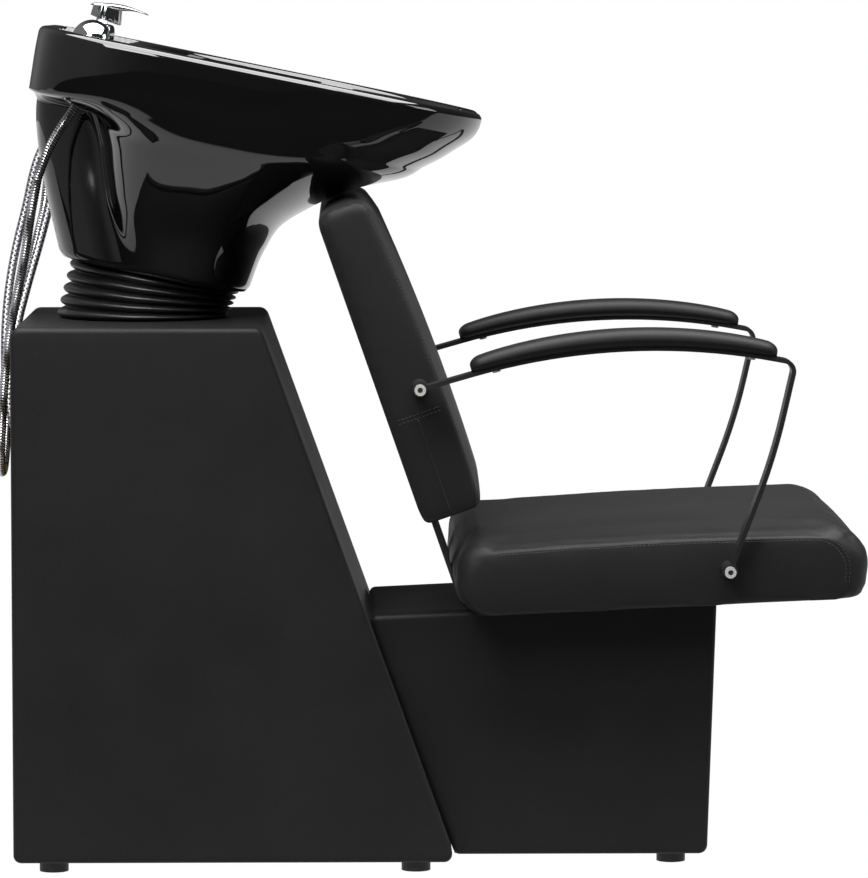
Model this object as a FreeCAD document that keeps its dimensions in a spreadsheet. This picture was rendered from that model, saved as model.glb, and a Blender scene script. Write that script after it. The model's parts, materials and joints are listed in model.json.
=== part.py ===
import FreeCAD, Part
import math
import os
import Sketcher

# Backwash unit: a tilting shampoo bowl on an upholstered pedestal, with a reclined seat in front of it.
# X runs from the bowl towards the seat's front, Y across the unit, Z up from the floor.

Vector = FreeCAD.Vector
doc = FreeCAD.newDocument("BackwashUnit")

# Driving dimensions, in millimetres and degrees
sizes = {
    # pedestal
    "pedestal_rear": -481.5,
    "pedestal_top": 620,
    "pedestal_top_front": -200,
    "pedestal_toe": 19,
    "pedestal_width": 410,
    "board": 15,
    "wrap_thickness": 8,
    "wrap_corner": 10,
    "side_pad": 12,
    "pad_corner": 14,
    "pad_tuck": 1.5,
    "pad_shoulder": 2.5,
    "pad_edge": 11,
    "rail_height": 25,
    "rail_depth": 60,
    "drain_opening": 40,
    "service_width": 180,
    "service_low": 400,
    "service_high": 585,
    "foot_height": 13,
    "foot_radius": 16.5,
    "foot_inset": 44.5,
    "foot_spread": 170,
    "foot_screw_radius": 2.4,
    "foot_screw_depth": 18,
    "foot_screw_head": 5,
    "foot_screw_head_height": 3,
    "foot_recess": 6,
    "screw_clearance": 0.15,
    # seat base
    "seat_base_width": 297,
    "seat_base_front": 318,
    "seat_base_top": 307,
    "seat_base_toe": 308,
    "seat_tilt": 2.7,
    "base_gap": 0.3,
    "seat_foot_inset": 39.5,
    "seat_foot_spread": 110,
    "joining_bolt_radius": 4,
    "joining_bolt_head": 7,
    "joining_bolt_head_height": 5,
    "joining_bolt_low": 80,
    "joining_bolt_high": 220,
    "joining_bolt_spread": 85,
    # seat
    "seat_rear": 19,
    "seat_length": 464,
    "seat_width": 520,
    "seat_height": 80,
    "seat_crown": 7,
    "seat_swell": 3,
    "seat_rear_corner": 38,
    "seat_nose": 36,
    "seat_nose_lip": 24,
    "seat_edge": 12,
    "seat_board_margin": 34,
    "seat_rail_width": 20,
    "seat_rail_height": 38,
    "seat_rail_length": 360,
    "seat_rail_inset": 18,
    "seat_bolt_radius": 4,
    "seat_bolt_head": 7,
    "seat_bolt_head_height": 5,
    "seat_bolt_grip": 11,
    "seat_bolt_rear": 70,
    "seat_bolt_front": 230,
    # backrest
    "back_x": -17,
    "back_z": 398,
    "back_tilt": 19.3,
    "back_length": 373,
    "back_width": 500,
    "back_thickness": 72.5,
    "back_top_thickness": 62.5,
    "back_corner": 18,
    "back_lumbar": 6,
    "back_edge": 12,
    "back_heel": 4,
    "back_heel_height": 22,
    "back_board": 12,
    "back_board_margin": 28,
    "back_board_low": 6,
    "back_rail_width": 20,
    "back_rail_height": 36,
    "back_rail_low": 110,
    "back_rail_length": 90,
    "back_rail_inset": 18,
    "bracket_thickness": 5,
    "bracket_width": 40,
    "bracket_spread": 85,
    "bracket_cover": 7,
    "bracket_rise": 150,
    "bracket_reach": 280,
    "bracket_bend": 18,
    "bracket_slot_clearance": 0.5,
    "seat_notch_height": 60,
    "bracket_bolt_radius": 3,
    "bracket_bolt_head": 6,
    "bracket_bolt_head_height": 4,
    "bracket_bolt_low": 60,
    "bracket_bolt_high": 120,
    # arms
    "arm_gap": 10,
    "arm_bar_width": 30,
    "arm_bar_thickness": 5,
    "arm_rear_x": -22.5,
    "arm_rear_z": 557,
    "arm_crest_x": 203.5,
    "arm_crest_z": 621.5,
    "arm_bend_x": 393.5,
    "arm_bend_z": 586,
    "arm_knee_x": 369.5,
    "arm_knee_z": 480,
    "arm_foot_x": 321.5,
    "arm_foot_z": 354,
    "arm_crest_radius": 730,
    "arm_bend_radius": 12,
    "arm_knee_radius": 700,
    "arm_boss_radius": 9,
    "arm_bolt_radius": 4,
    "arm_bolt_head": 6.3,
    "arm_bolt_head_height": 6,
    "arm_bolt_socket": 3,
    "arm_bolt_grip": 12,
    "arm_washer_radius": 8.5,
    "arm_washer_thickness": 1.6,
    "arm_pad_width": 50,
    "arm_pad_thickness": 20,
    "arm_pad_end_thickness": 13,
    "arm_pad_start": 35.5,
    "arm_pad_end": 371.5,
    "arm_pad_gap": 0.3,
    "pad_screw_radius": 2.5,
    "pad_screw_head": 4.5,
    "pad_screw_head_height": 2.6,
    "pad_screw_seat": 0.05,
    "pad_screw_depth": 10,
    "pad_screw_inset": 26,
    # bowl, measured in its own frame: along the rim from its rear edge, across, and down from the rim
    "rim_tilt": 11.5,
    "bowl_rear_x": -452,
    "bowl_rear_z": 959,
    "bowl_length": 521,
    "bowl_width": 474,
    "bowl_depth": 256,
    "band_depth": 77,
    "deck_length": 92,
    "deck_half_width": 165,
    "deck_depth": 18,
    "deck_wall": 14,
    "deck_thickness": 12,
    "bowl_skin": 9,
    "basin_depth": 214,
    "neck_notch_radius": 82,
    "neck_notch_lift": 34,
    "neck_notch_reach": 130,
    "band_rear_tuck": 2,
    "band_front_run": 60,
    "band_side_tuck": 8,
    "bowl_foot_rear": 130,
    "bowl_foot_front": 291,
    "bowl_foot_half": 107,
    "spine_foot_rear": 70,
    "spine_front": 231,
    "spine_half": 99,
    "scoop_drop": 60,
    "basin_rear_run": 40,
    "basin_floor_front": 259,
    "basin_floor_half": 47,
    # tilt hinge under the bowl
    "hinge_along": 182,
    "hinge_drop": 27,
    "hinge_pin_radius": 5,
    "hinge_running": 0.05,
    "hinge_head_radius": 8,
    "hinge_head_height": 3,
    "ear_radius": 14,
    "ear_width": 40,
    "ear_thickness": 5,
    "ear_spread": 47,
    "friction_washer": 1.5,
    "friction_gap": 0.1,
    "friction_washer_radius": 12,
    "hinge_plate": 5,
    "hinge_plate_length": 80,
    "hinge_plate_overlap": 2,
    "wrap_hole_clearance": 2,
    "head_plate_length": 120,
    "head_plate_hole": 34,
    "hinge_screw_radius": 2.5,
    "hinge_screw_head": 4.5,
    "hinge_screw_head_height": 2.5,
    "hinge_screw_depth": 12,
    "hinge_screw_along": 31,
    "hinge_screw_across": 46,
    "head_screw_along": 50,
    "head_screw_across": 40,
    # bellows
    "bellows_outer": 99,
    "bellows_valley": 89,
    "bellows_bore": 82,
    "bellows_pleats": 5,
    "bellows_gap": 0.4,
    "bellows_shift": -8,
    # drain
    "drain_flange_radius": 32,
    "drain_flange": 3,
    "drain_tail_radius": 20,
    "drain_bore": 17,
    "drain_tail_length": 62,
    "drain_clearance": 0.4,
    "drain_nut_radius": 31,
    "drain_nut_height": 10,
    "strainer_radius": 26,
    "strainer_thickness": 2,
    "strainer_stem": 14,
    "strainer_stem_wall": 4,
    "strainer_running": 0.05,
    "strainer_hole": 2.4,
    "strainer_ring": 8,
    "strainer_holes": 6,
    # tap and hand shower on the deck
    "tap_along": 60,
    "tap_across": 94,
    "tap_base_radius": 24,
    "tap_base_height": 5,
    "tap_body_radius": 18,
    "tap_body_height": 12,
    "tap_shank_radius": 17,
    "tap_shank_length": 30,
    "tap_port_radius": 10,
    "tap_stem_radius": 8,
    "swivel_radius": 18,
    "swivel_height": 14,
    "swivel_gap": 0.1,
    "tongue_half": 7,
    "tongue_radius": 6.5,
    "lever_length": 52,
    "lever_tail": 16,
    "lever_tail_height": 3,
    "lever_shoulder": 7,
    "lever_crest": 10,
    "lever_crest_along": 20,
    "lever_root": 12,
    "lever_tip_level": 4,
    "lever_tip": 2,
    "lever_width": 26,
    "lever_thickness": 5,
    "lever_rise": 9,
    "lever_lift": 9,
    "lever_gap": 0.2,
    "lever_pin_radius": 3,
    "lever_cheek": 5,
    "deck_nut_radius": 23,
    "deck_nut_height": 9,
    "shower_along": 62,
    "shower_radius": 23.5,
    "shower_stem_radius": 11,
    "shower_stem_length": 40,
    "shower_running": 0.08,
    "holder_radius": 15,
    "holder_flange": 22,
    "holder_flange_height": 4,
    "holder_length": 34,
    "shower_seat_gap": 0.3,
    "shower_lift": 12,
    "spray_radius": 9,
    "spray_thickness": 4,
    "spray_offset": 13,
    "spray_rise": 6,
    "spray_clearance": 0.1,
    # hoses
    "shower_hose": 11,
    "supply_hose": 10,
    "hose_end_gap": 0.5,
    "hose_joint_gap": 1.2,
    "nut_radius": 12,
    "nut_length": 18,
    "nut_thread": 8,
    "nut_floor": 6,
}

sheet = doc.addObject("Spreadsheet::Sheet", "Sizes")
for row, (alias, value) in enumerate(sizes.items(), start=1):
    sheet.set(f"A{row}", alias)
    sheet.set(f"B{row}", str(value))
    sheet.setAlias(f"B{row}", alias)
doc.recompute()


def size(alias):
    return float(sheet.get(alias))


# Document helpers: every sub-part is kept in one list, in the order it is made
sub_parts = []


def keep(piece, placement=None):
    if placement is not None:
        piece.Placement = placement
    sub_parts.append(piece)
    return piece


def bind(piece, **expressions):
    for name, expression in expressions.items():
        piece.setExpression(name, expression)


def set_base(piece, corner):
    for axis, expression in zip("xyz", corner):
        piece.setExpression(f"Placement.Base.{axis}", expression)


def box(label, length, width, height, corner):
    piece = doc.addObject("Part::Box", label)
    bind(piece, Length=length, Width=width, Height=height)
    set_base(piece, corner)
    return piece


turned = {
    "up": FreeCAD.Rotation(),
    "across": FreeCAD.Rotation(Vector(1, 0, 0), -90),
    "along": FreeCAD.Rotation(Vector(0, 1, 0), 90),
}


def cylinder(label, radius, height, corner, direction="up"):
    piece = doc.addObject("Part::Cylinder", label)
    bind(piece, Radius=radius, Height=height)
    piece.Placement = FreeCAD.Placement(Vector(), turned[direction])
    set_base(piece, corner)
    return piece


def fuse(label, *pieces):
    result = doc.addObject("Part::MultiFuse", label)
    result.Shapes = list(pieces)
    return result


def group(label, *pieces):
    result = doc.addObject("Part::Compound", label)
    result.Links = list(pieces)
    return result


def cut(label, base, *tools):
    result = doc.addObject("Part::Cut", label)
    result.Base = base
    result.Tool = tools[0] if len(tools) == 1 else group(f"{label}_tools", *tools)
    return result


def formed(label, shape):
    piece = doc.addObject("Part::Feature", label)
    piece.Shape = shape
    return piece


# Boards, bands and plates: an outline in the XZ plane, padded towards -Y from its far side
def origin_plane(body, role):
    return next(plane for plane in body.Origin.OriginFeatures if plane.Role == role)


def prism(label, corners, depth, far_side):
    body = doc.addObject("PartDesign::Body", label)
    sketch = body.newObject("Sketcher::SketchObject", f"{label}_outline")
    sketch.AttachmentSupport = [(origin_plane(body, "XZ_Plane"), "")]
    sketch.MapMode = "FlatFace"
    count = len(corners)
    ring = [Vector(math.cos(2 * math.pi * step / count), math.sin(2 * math.pi * step / count), 0)
            for step in range(count)]
    for step in range(count):
        sketch.addGeometry(Part.LineSegment(ring[step], ring[(step + 1) % count]))
    for step in range(count):
        sketch.addConstraint(Sketcher.Constraint("Coincident", step, 2, (step + 1) % count, 1))
    for step, (along, up) in enumerate(corners):
        for kind, expression in (("DistanceX", along), ("DistanceY", up)):
            index = sketch.addConstraint(Sketcher.Constraint(kind, -1, 1, step, 1, 1.0))
            sketch.setExpression(f"Constraints[{index}]", expression)
    pad = body.newObject("PartDesign::Pad", f"{label}_pad")
    pad.Profile = sketch
    pad.setExpression("Length", depth)
    body.setExpression("Placement.Base.y", far_side)
    doc.recompute()
    return body


def round_edges(body, radius, places):
    base = body.Tip
    names = []
    for index, edge in enumerate(base.Shape.Edges, start=1):
        middle = edge.CenterOfMass
        for along, up in places:
            if math.hypot(middle.x - along, middle.z - up) < 1e-3:
                names.append(f"Edge{index}")
    fillet = body.newObject("PartDesign::Fillet", f"{body.Name}_fillet")
    fillet.Base = (base, names)
    fillet.setExpression("Radius", radius)
    doc.recompute()
    return body


# Lofted and swept forms
def loft(wires, ruled=False):
    return Part.makeLoft(wires, True, ruled)


def inset_outline(points, distance):
    moved = []
    count = len(points)
    for step in range(count):
        before = points[step - 1]
        here = points[step]
        after = points[(step + 1) % count]
        first = (here - before).normalize()
        second = (after - here).normalize()
        turn = math.acos(max(-1.0, min(1.0, first.dot(second))))
        inward = Vector(first.z, 0, -first.x) + Vector(second.z, 0, -second.x)
        moved.append(here + inward.normalize() * (distance / math.cos(turn / 2)))
    return moved


def rounded_edges(points, radii, closed):
    count = len(points)
    starts = []
    edges = []
    for step in range(count):
        here = points[step]
        if not closed and step in (0, count - 1):
            starts.append((here, here))
            continue
        back = (points[step - 1] - here).normalize()
        ahead = (points[(step + 1) % count] - here).normalize()
        half_turn = (math.pi - back.getAngle(ahead)) / 2
        reach = radii[step] * math.tan(half_turn)
        starts.append((here + back * reach, here + ahead * reach))
    for step in range(count):
        here = points[step]
        arrive, leave = starts[step]
        if (leave - arrive).Length > 1e-6:
            bisector = ((arrive + leave) * 0.5 - here).normalize()
            half_turn = (math.pi - (arrive - here).getAngle(leave - here)) / 2
            depth = radii[step] * (1 / math.cos(half_turn) - 1)
            edges.append(Part.Arc(arrive, here + bisector * depth, leave).toShape())
        if step < count - 1 or closed:
            following = starts[(step + 1) % count][0]
            if (following - leave).Length > 1e-6:
                edges.append(Part.LineSegment(leave, following).toShape())
    return edges


def rounded_outline(points, radius):
    return Part.Wire(rounded_edges(points, [radius] * len(points), True))


def strap(points, radii, thickness, width, middle_y):
    lifted = [Vector(along, middle_y, up) for along, up in points]
    path = Part.Wire(rounded_edges(lifted, radii, False))
    heading = (lifted[1] - lifted[0]).normalize()
    normal = Vector(-heading.z, 0, heading.x)
    corners = []
    for side, rise in ((-1, -1), (1, -1), (1, 1), (-1, 1)):
        corners.append(lifted[0] + Vector(0, side * width / 2, 0) + normal * (rise * thickness / 2))
    section = Part.makePolygon(corners + corners[:1])
    return path.makePipeShell([section], True, False)


# Levels through a side panel at which its outline is drawn in
pad_levels = (0.0, 0.42, 0.75, 1.0)


def padded_plate(outline, thickness, corner, inner_y, side):
    insets = (size("pad_tuck"), 0, size("pad_shoulder"), size("pad_edge"))
    wires = []
    for share, inset in zip(pad_levels, insets):
        level = inner_y + side * thickness * share
        points = [Vector(along, level, up) for along, up in outline]
        wires.append(rounded_outline(inset_outline(points, inset), corner))
    return loft(wires)


def world_to_plan(expression_points):
    probe = doc.addObject("Part::Vertex", "probe")
    plan = []
    for along, up in expression_points:
        bind(probe, X=along, Z=up)
        probe.recompute()
        plan.append((probe.X.Value, probe.Z.Value))
    doc.removeObject(probe.Name)
    return plan


# Pedestal lines: the sloped front and the levels of its boards
bottom = "Sizes.foot_height"
top = "Sizes.pedestal_top"
rear = "Sizes.pedestal_rear"
rake = "atan((Sizes.pedestal_toe - Sizes.pedestal_top_front) / (Sizes.pedestal_top - Sizes.foot_height))"
board_top = "(Sizes.pedestal_top - Sizes.wrap_thickness)"
under_top = "(Sizes.pedestal_top - Sizes.wrap_thickness - Sizes.board)"
side_face = "(Sizes.pedestal_width / 2 - Sizes.side_pad)"
inner_face = "(Sizes.pedestal_width / 2 - Sizes.side_pad - Sizes.board)"
rear_face = "(Sizes.pedestal_rear + Sizes.wrap_thickness)"
cover = "Sizes.wrap_thickness"
cover_and_board = "(Sizes.wrap_thickness + Sizes.board)"


def slope_x(height, inset):
    level = f"(Sizes.pedestal_top - ({height}))"
    return f"Sizes.pedestal_top_front + {level} * tan({rake}) - ({inset}) / cos({rake})"


# Bowl frame: the hinge under the bowl stands over the pedestal's top opening
rim_tilt = math.radians(size("rim_tilt"))
bowl_place = FreeCAD.Placement(
    Vector(size("bowl_rear_x"), 0, size("bowl_rear_z")),
    FreeCAD.Rotation(Vector(0, 1, 0), size("rim_tilt")),
)
hinge_low = "(Sizes.bowl_depth + Sizes.hinge_drop)"
hinge_x = (f"(Sizes.bowl_rear_x + Sizes.hinge_along * cos(Sizes.rim_tilt)"
           f" - {hinge_low} * sin(Sizes.rim_tilt))")
hinge_z = (f"(Sizes.bowl_rear_z - Sizes.hinge_along * sin(Sizes.rim_tilt)"
           f" - {hinge_low} * cos(Sizes.rim_tilt))")
wrap_hole = "(Sizes.bellows_bore - Sizes.wrap_hole_clearance)"

# Pedestal boards
pedestal_plan = [
    (rear_face, bottom),
    (rear_face, board_top),
    (slope_x(board_top, cover), board_top),
    (slope_x(bottom, cover), bottom),
]
keep(prism("pedestal_side_board_left", pedestal_plan, "Sizes.board", side_face))
keep(prism("pedestal_side_board_right", pedestal_plan, "Sizes.board", f"-{inner_face}"))

front_board = prism(
    "pedestal_front_board_blank",
    [
        (slope_x(bottom, cover), bottom),
        (slope_x(under_top, cover), under_top),
        (slope_x(under_top, cover_and_board), under_top),
        (slope_x(bottom, cover_and_board), bottom),
    ],
    f"2 * {inner_face}",
    inner_face,
)
top_board = prism(
    "pedestal_top_board_blank",
    [
        (rear_face, under_top),
        (rear_face, board_top),
        (slope_x(board_top, cover), board_top),
        (slope_x(under_top, cover), under_top),
    ],
    f"2 * {inner_face}",
    inner_face,
)
top_drain_hole = cylinder("top_drain_hole", "Sizes.drain_opening", "3 * Sizes.board",
                          (hinge_x, "0", f"{under_top} - Sizes.board"))
hinge_corners = [(along, across) for along in (1, -1) for across in (1, -1)]
base_pilots = []
for number, (along, across) in enumerate(hinge_corners):
    base_pilots.append(cylinder(f"base_pilot_{number}", "Sizes.hinge_screw_radius + Sizes.screw_clearance",
                                "2 * Sizes.board",
                                (f"{hinge_x} + {along} * Sizes.hinge_screw_along",
                                 f"{across} * Sizes.hinge_screw_across",
                                 f"{board_top} - Sizes.hinge_screw_depth - Sizes.screw_clearance")))
keep(cut("pedestal_top_board", top_board, top_drain_hole, *base_pilots))
rear_board = box("pedestal_rear_board_blank", "Sizes.board", f"2 * {inner_face}", f"{under_top} - {bottom}",
                 (rear_face, f"-{inner_face}", bottom))
service_opening = box("service_opening", f"3 * {cover_and_board}", "Sizes.service_width",
                      "Sizes.service_high - Sizes.service_low",
                      (f"{rear} - {cover_and_board}", "-Sizes.service_width / 2", "Sizes.service_low"))
keep(cut("pedestal_rear_board", rear_board, service_opening))

# Floor rails that carry the pedestal's feet
rear_rail_x = f"({rear_face} + Sizes.board)"
front_rail_x = f"({slope_x(f'{bottom} + Sizes.rail_height', cover_and_board)} - Sizes.rail_depth)"
rear_foot_x = "(Sizes.pedestal_rear + Sizes.foot_inset)"
front_foot_x = "(Sizes.pedestal_toe - Sizes.foot_inset)"
foot_places = [
    (rear_foot_x, "Sizes.foot_spread"),
    (rear_foot_x, "-Sizes.foot_spread"),
    (front_foot_x, "Sizes.foot_spread"),
    (front_foot_x, "-Sizes.foot_spread"),
]
rail_size = ("Sizes.rail_depth", f"2 * {inner_face}", "Sizes.rail_height")
rails = [box(f"{name}_rail", *rail_size, (along, f"-{inner_face}", bottom))
         for name, along in (("rear", rear_rail_x), ("front", front_rail_x))]


def foot_pilot(index, along, across):
    return cylinder(f"foot_pilot_{index}", "Sizes.foot_screw_radius + Sizes.screw_clearance",
                    "Sizes.foot_screw_depth + Sizes.screw_clearance", (along, across, bottom))


def foot(index, along, across):
    blank = cylinder(f"foot_blank_{index}", "Sizes.foot_radius", bottom, (along, across, "0"))
    recess = cylinder(f"foot_recess_{index}", "Sizes.foot_screw_head + Sizes.screw_clearance",
                      "Sizes.foot_recess", (along, across, "0"))
    bore = cylinder(f"foot_bore_{index}", "Sizes.foot_screw_radius + Sizes.screw_clearance", bottom,
                    (along, across, "0"))
    return cut(f"foot_{index}", blank, recess, bore)


def foot_screw(index, along, across):
    head = cylinder(f"foot_screw_head_{index}", "Sizes.foot_screw_head", "Sizes.foot_screw_head_height",
                    (along, across, "Sizes.foot_recess - Sizes.foot_screw_head_height"))
    shank = cylinder(f"foot_screw_shank_{index}", "Sizes.foot_screw_radius",
                     f"{bottom} - Sizes.foot_recess + Sizes.foot_screw_depth",
                     (along, across, "Sizes.foot_recess"))
    return fuse(f"foot_screw_{index}", head, shank)


pilots = [foot_pilot(index, *place) for index, place in enumerate(foot_places)]
keep(group("pedestal_floor_rails",
           cut("rear_rail_drilled", rails[0], *pilots[:2]),
           cut("front_rail_drilled", rails[1], *pilots[2:])))

# Pedestal cover: one band over the rear, top and sloped front, and a padded panel on each side
wrap = prism(
    "pedestal_wrap_band",
    [
        (rear, bottom),
        (rear, top),
        ("Sizes.pedestal_top_front", top),
        ("Sizes.pedestal_toe", bottom),
        (slope_x(bottom, cover), bottom),
        (slope_x(board_top, cover), board_top),
        (rear_face, board_top),
        (rear_face, bottom),
    ],
    f"2 * {side_face}",
    side_face,
)
round_edges(wrap, "Sizes.wrap_corner", [
    (size("pedestal_rear"), size("pedestal_top")),
    (size("pedestal_top_front"), size("pedestal_top")),
])
wrap_opening = cylinder("wrap_opening", wrap_hole, "3 * Sizes.wrap_thickness",
                        (f"{hinge_x} + Sizes.bellows_shift", "0", f"{board_top} - Sizes.wrap_thickness"))

pedestal_outline = world_to_plan([
    (rear, bottom),
    (rear, top),
    ("Sizes.pedestal_top_front", top),
    ("Sizes.pedestal_toe", bottom),
])
side_y = size("pedestal_width") / 2 - size("side_pad")
for name, side in (("left", 1), ("right", -1)):
    keep(formed(f"pedestal_side_pad_{name}",
                padded_plate(pedestal_outline, size("side_pad"), size("pad_corner"), side * side_y, side)))

# Seat base: its rear lies against the pedestal's slope and its top rises with the seat
seat_side = "(Sizes.seat_base_width / 2 - Sizes.side_pad)"
seat_inner = "(Sizes.seat_base_width / 2 - Sizes.side_pad - Sizes.board)"
lean = "((Sizes.seat_base_front - Sizes.seat_base_toe) / (Sizes.seat_base_top - Sizes.foot_height))"


def ramp_z(along, inset):
    rise = f"(({along}) - Sizes.seat_base_front) * tan(Sizes.seat_tilt)"
    return f"Sizes.seat_base_top + {rise} - ({inset}) / cos(Sizes.seat_tilt)"


def heel_x(outset, inset):
    reach = f"Sizes.pedestal_top_front + Sizes.pedestal_top * tan({rake}) + ({outset}) / cos({rake})"
    level = (f"Sizes.seat_base_top - Sizes.seat_base_front * tan(Sizes.seat_tilt)"
             f" - ({inset}) / cos(Sizes.seat_tilt)")
    return f"(({reach}) - ({level}) * tan({rake})) / (1 + tan(Sizes.seat_tilt) * tan({rake}))"


def heel(outset, inset):
    along = heel_x(outset, inset)
    return (along, ramp_z(along, inset))


def brow(inset, depth):
    along = f"Sizes.seat_base_front - ({inset})"
    return (along, ramp_z(along, depth))


gap = "Sizes.base_gap"
gap_and_board = "(Sizes.base_gap + Sizes.board)"
base_front_bottom = ("Sizes.seat_base_toe - Sizes.wrap_thickness", bottom)
seat_base_plan = [
    (slope_x(bottom, f"-{gap}"), bottom),
    heel(gap, cover),
    brow(cover, cover),
    base_front_bottom,
]
keep(prism("seat_base_side_board_left", seat_base_plan, "Sizes.board", seat_side))
keep(prism("seat_base_side_board_right", seat_base_plan, "Sizes.board", f"-{seat_inner}"))
keep(prism("seat_base_front_board",
           [
               brow(f"{cover} + {gap} + {lean} * Sizes.board", cover_and_board),
               (f"Sizes.seat_base_toe - {cover} - {gap}", bottom),
               (f"Sizes.seat_base_toe - {cover_and_board}", bottom),
               brow(f"{cover_and_board} + {lean} * Sizes.board", cover_and_board),
           ],
           f"2 * {seat_inner}", seat_inner))
seat_base_top_blank = prism("seat_base_top_blank",
                            [
                                heel(gap, cover),
                                brow(f"{cover} + {gap}", cover),
                                brow(f"{cover} + {gap} + {lean} * Sizes.board", cover_and_board),
                                heel(gap, cover_and_board),
                            ],
                            f"2 * {seat_inner}", seat_inner)
seat_base_rear_blank = prism("seat_base_rear_blank",
                             [
                                 heel(gap, cover_and_board),
                                 heel(gap_and_board, cover_and_board),
                                 (slope_x(bottom, f"-{gap_and_board}"), bottom),
                                 (slope_x(bottom, f"-{gap}"), bottom),
                             ],
                             f"2 * {seat_inner}", seat_inner)
seat_wrap = prism("seat_base_wrap_band",
                  [
                      heel(gap, "0"),
                      brow("0", "0"),
                      ("Sizes.seat_base_toe", bottom),
                      base_front_bottom,
                      brow(cover, cover),
                      heel(gap, cover),
                  ],
                  f"2 * {seat_side}", seat_side)
round_edges(seat_wrap, "Sizes.wrap_corner", world_to_plan([brow("0", "0")]))

seat_base_outline = world_to_plan([
    (slope_x(bottom, f"-{gap}"), bottom),
    heel(gap, "0"),
    brow("0", "0"),
    ("Sizes.seat_base_toe", bottom),
])
seat_side_y = size("seat_base_width") / 2 - size("side_pad")
for name, side in (("left", 1), ("right", -1)):
    plate = padded_plate(seat_base_outline, size("side_pad"), size("pad_corner"), side * seat_side_y, side)
    keep(formed(f"seat_base_side_pad_{name}", plate))

# A cleat across the seat base carries its two feet
seat_foot_x = "(Sizes.seat_base_toe - Sizes.seat_foot_inset)"
cleat_lean = f"({lean} < 0 ? {lean} * Sizes.rail_height : 0)"
cleat_front = f"(Sizes.seat_base_toe - {cover_and_board} + {cleat_lean})"
cleat = box("seat_base_cleat_blank", "Sizes.rail_depth", f"2 * {seat_inner}", "Sizes.rail_height",
            (f"{cleat_front} - Sizes.rail_depth", f"-{seat_inner}", bottom))
seat_foot_places = [(seat_foot_x, "Sizes.seat_foot_spread"), (seat_foot_x, "-Sizes.seat_foot_spread")]
seat_pilots = [foot_pilot(index, *place) for index, place in enumerate(seat_foot_places, start=4)]
keep(cut("seat_base_cleat", cleat, *seat_pilots))
all_feet = foot_places + seat_foot_places
keep(group("feet", *[foot(index, *place) for index, place in enumerate(all_feet)]))
keep(group("foot_screws", *[foot_screw(index, *place) for index, place in enumerate(all_feet)]))

# Joining bolts: from inside the pedestal through its front board and cover into the seat base's rear board
rake_value = math.degrees(math.atan2(size("pedestal_toe") - size("pedestal_top_front"),
                                     size("pedestal_top") - size("foot_height")))
bolt_turn = FreeCAD.Rotation(Vector(0, 1, 0), 90 - rake_value)
inner_skin = size("wrap_thickness") + size("board")


def slope_point(height, inset):
    drop = (size("pedestal_top") - height) * math.tan(math.radians(rake_value))
    across = inset / math.cos(math.radians(rake_value))
    return size("pedestal_top_front") + drop - across


joining_bolts = []
joining_holes = []
for level in ("joining_bolt_low", "joining_bolt_high"):
    for side in (1, -1):
        height = size(level)
        seat_point = Vector(slope_point(height, inner_skin), side * size("joining_bolt_spread"), height)
        place = FreeCAD.Placement(seat_point, bolt_turn)
        head_place = place.multiply(FreeCAD.Placement(Vector(0, 0, -size("joining_bolt_head_height")),
                                                      FreeCAD.Rotation()))
        number = len(joining_bolts)
        shank = doc.addObject("Part::Cylinder", f"joining_shank_{number}")
        bind(shank, Radius="Sizes.joining_bolt_radius",
             Height="Sizes.wrap_thickness + 2 * Sizes.board + Sizes.base_gap")
        shank.Placement = place
        head = doc.addObject("Part::Cylinder", f"joining_head_{number}")
        bind(head, Radius="Sizes.joining_bolt_head", Height="Sizes.joining_bolt_head_height")
        head.Placement = head_place
        joining_bolts.append(fuse(f"joining_bolt_{number}", head, shank))
        hole = doc.addObject("Part::Cylinder", f"joining_hole_{number}")
        bind(hole, Radius="Sizes.joining_bolt_radius + Sizes.screw_clearance",
             Height="Sizes.wrap_thickness + 2 * Sizes.board + Sizes.base_gap")
        hole.Placement = place
        joining_holes.append(hole)
joining_tools = group("joining_holes", *joining_holes)
keep(group("joining_bolts", *joining_bolts))
keep(cut("pedestal_front_board", front_board, joining_tools))
keep(cut("pedestal_wrap", wrap, wrap_opening, service_opening, joining_tools))
keep(cut("seat_base_rear_board", seat_base_rear_blank, joining_tools))

# Seat frame: origin at the cushion's lower rear edge, tilted with the seat base's top
tilt = math.radians(size("seat_tilt"))
seat_floor = (size("seat_base_top") + (size("seat_rear") - size("seat_base_front")) * math.tan(tilt)
              + size("bracket_thickness") / math.cos(tilt))
seat_place = FreeCAD.Placement(Vector(size("seat_rear"), 0, seat_floor),
                               FreeCAD.Rotation(Vector(0, 1, 0), -size("seat_tilt")))


def in_frame(place, offset):
    return place.multiply(FreeCAD.Placement(offset, FreeCAD.Rotation()))


def placed(piece, place):
    piece.Placement = place
    return piece


# Backrest frame: origin at the cushion's lower rear edge, leaning back
back_place = FreeCAD.Placement(Vector(size("back_x"), 0, size("back_z")),
                               FreeCAD.Rotation(Vector(0, 1, 0), -size("back_tilt")))

# Back brackets: bent straps from behind the backrest board down to and under the seat
strap_middle = size("bracket_cover") + size("bracket_thickness") / 2
strap_top = back_place.multVec(Vector(strap_middle, 0, size("bracket_rise")))
strap_low = back_place.multVec(Vector(strap_middle, 0, 0))
leg_end = seat_place.multVec(Vector(size("bracket_reach"), 0, -size("bracket_thickness") / 2))
leg_start = seat_place.multVec(Vector(0, 0, -size("bracket_thickness") / 2))
fall = (strap_low - strap_top).normalize()
run = (leg_end - leg_start).normalize()
across_gap = leg_start - strap_low
travel = (across_gap.x * run.z - across_gap.z * run.x) / (fall.x * run.z - fall.z * run.x)
strap_knee = strap_low + fall * travel
strap_points = [(point.x, point.z) for point in (strap_top, strap_knee, leg_end)]
strap_radii = [0, size("bracket_bend"), 0]

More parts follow.
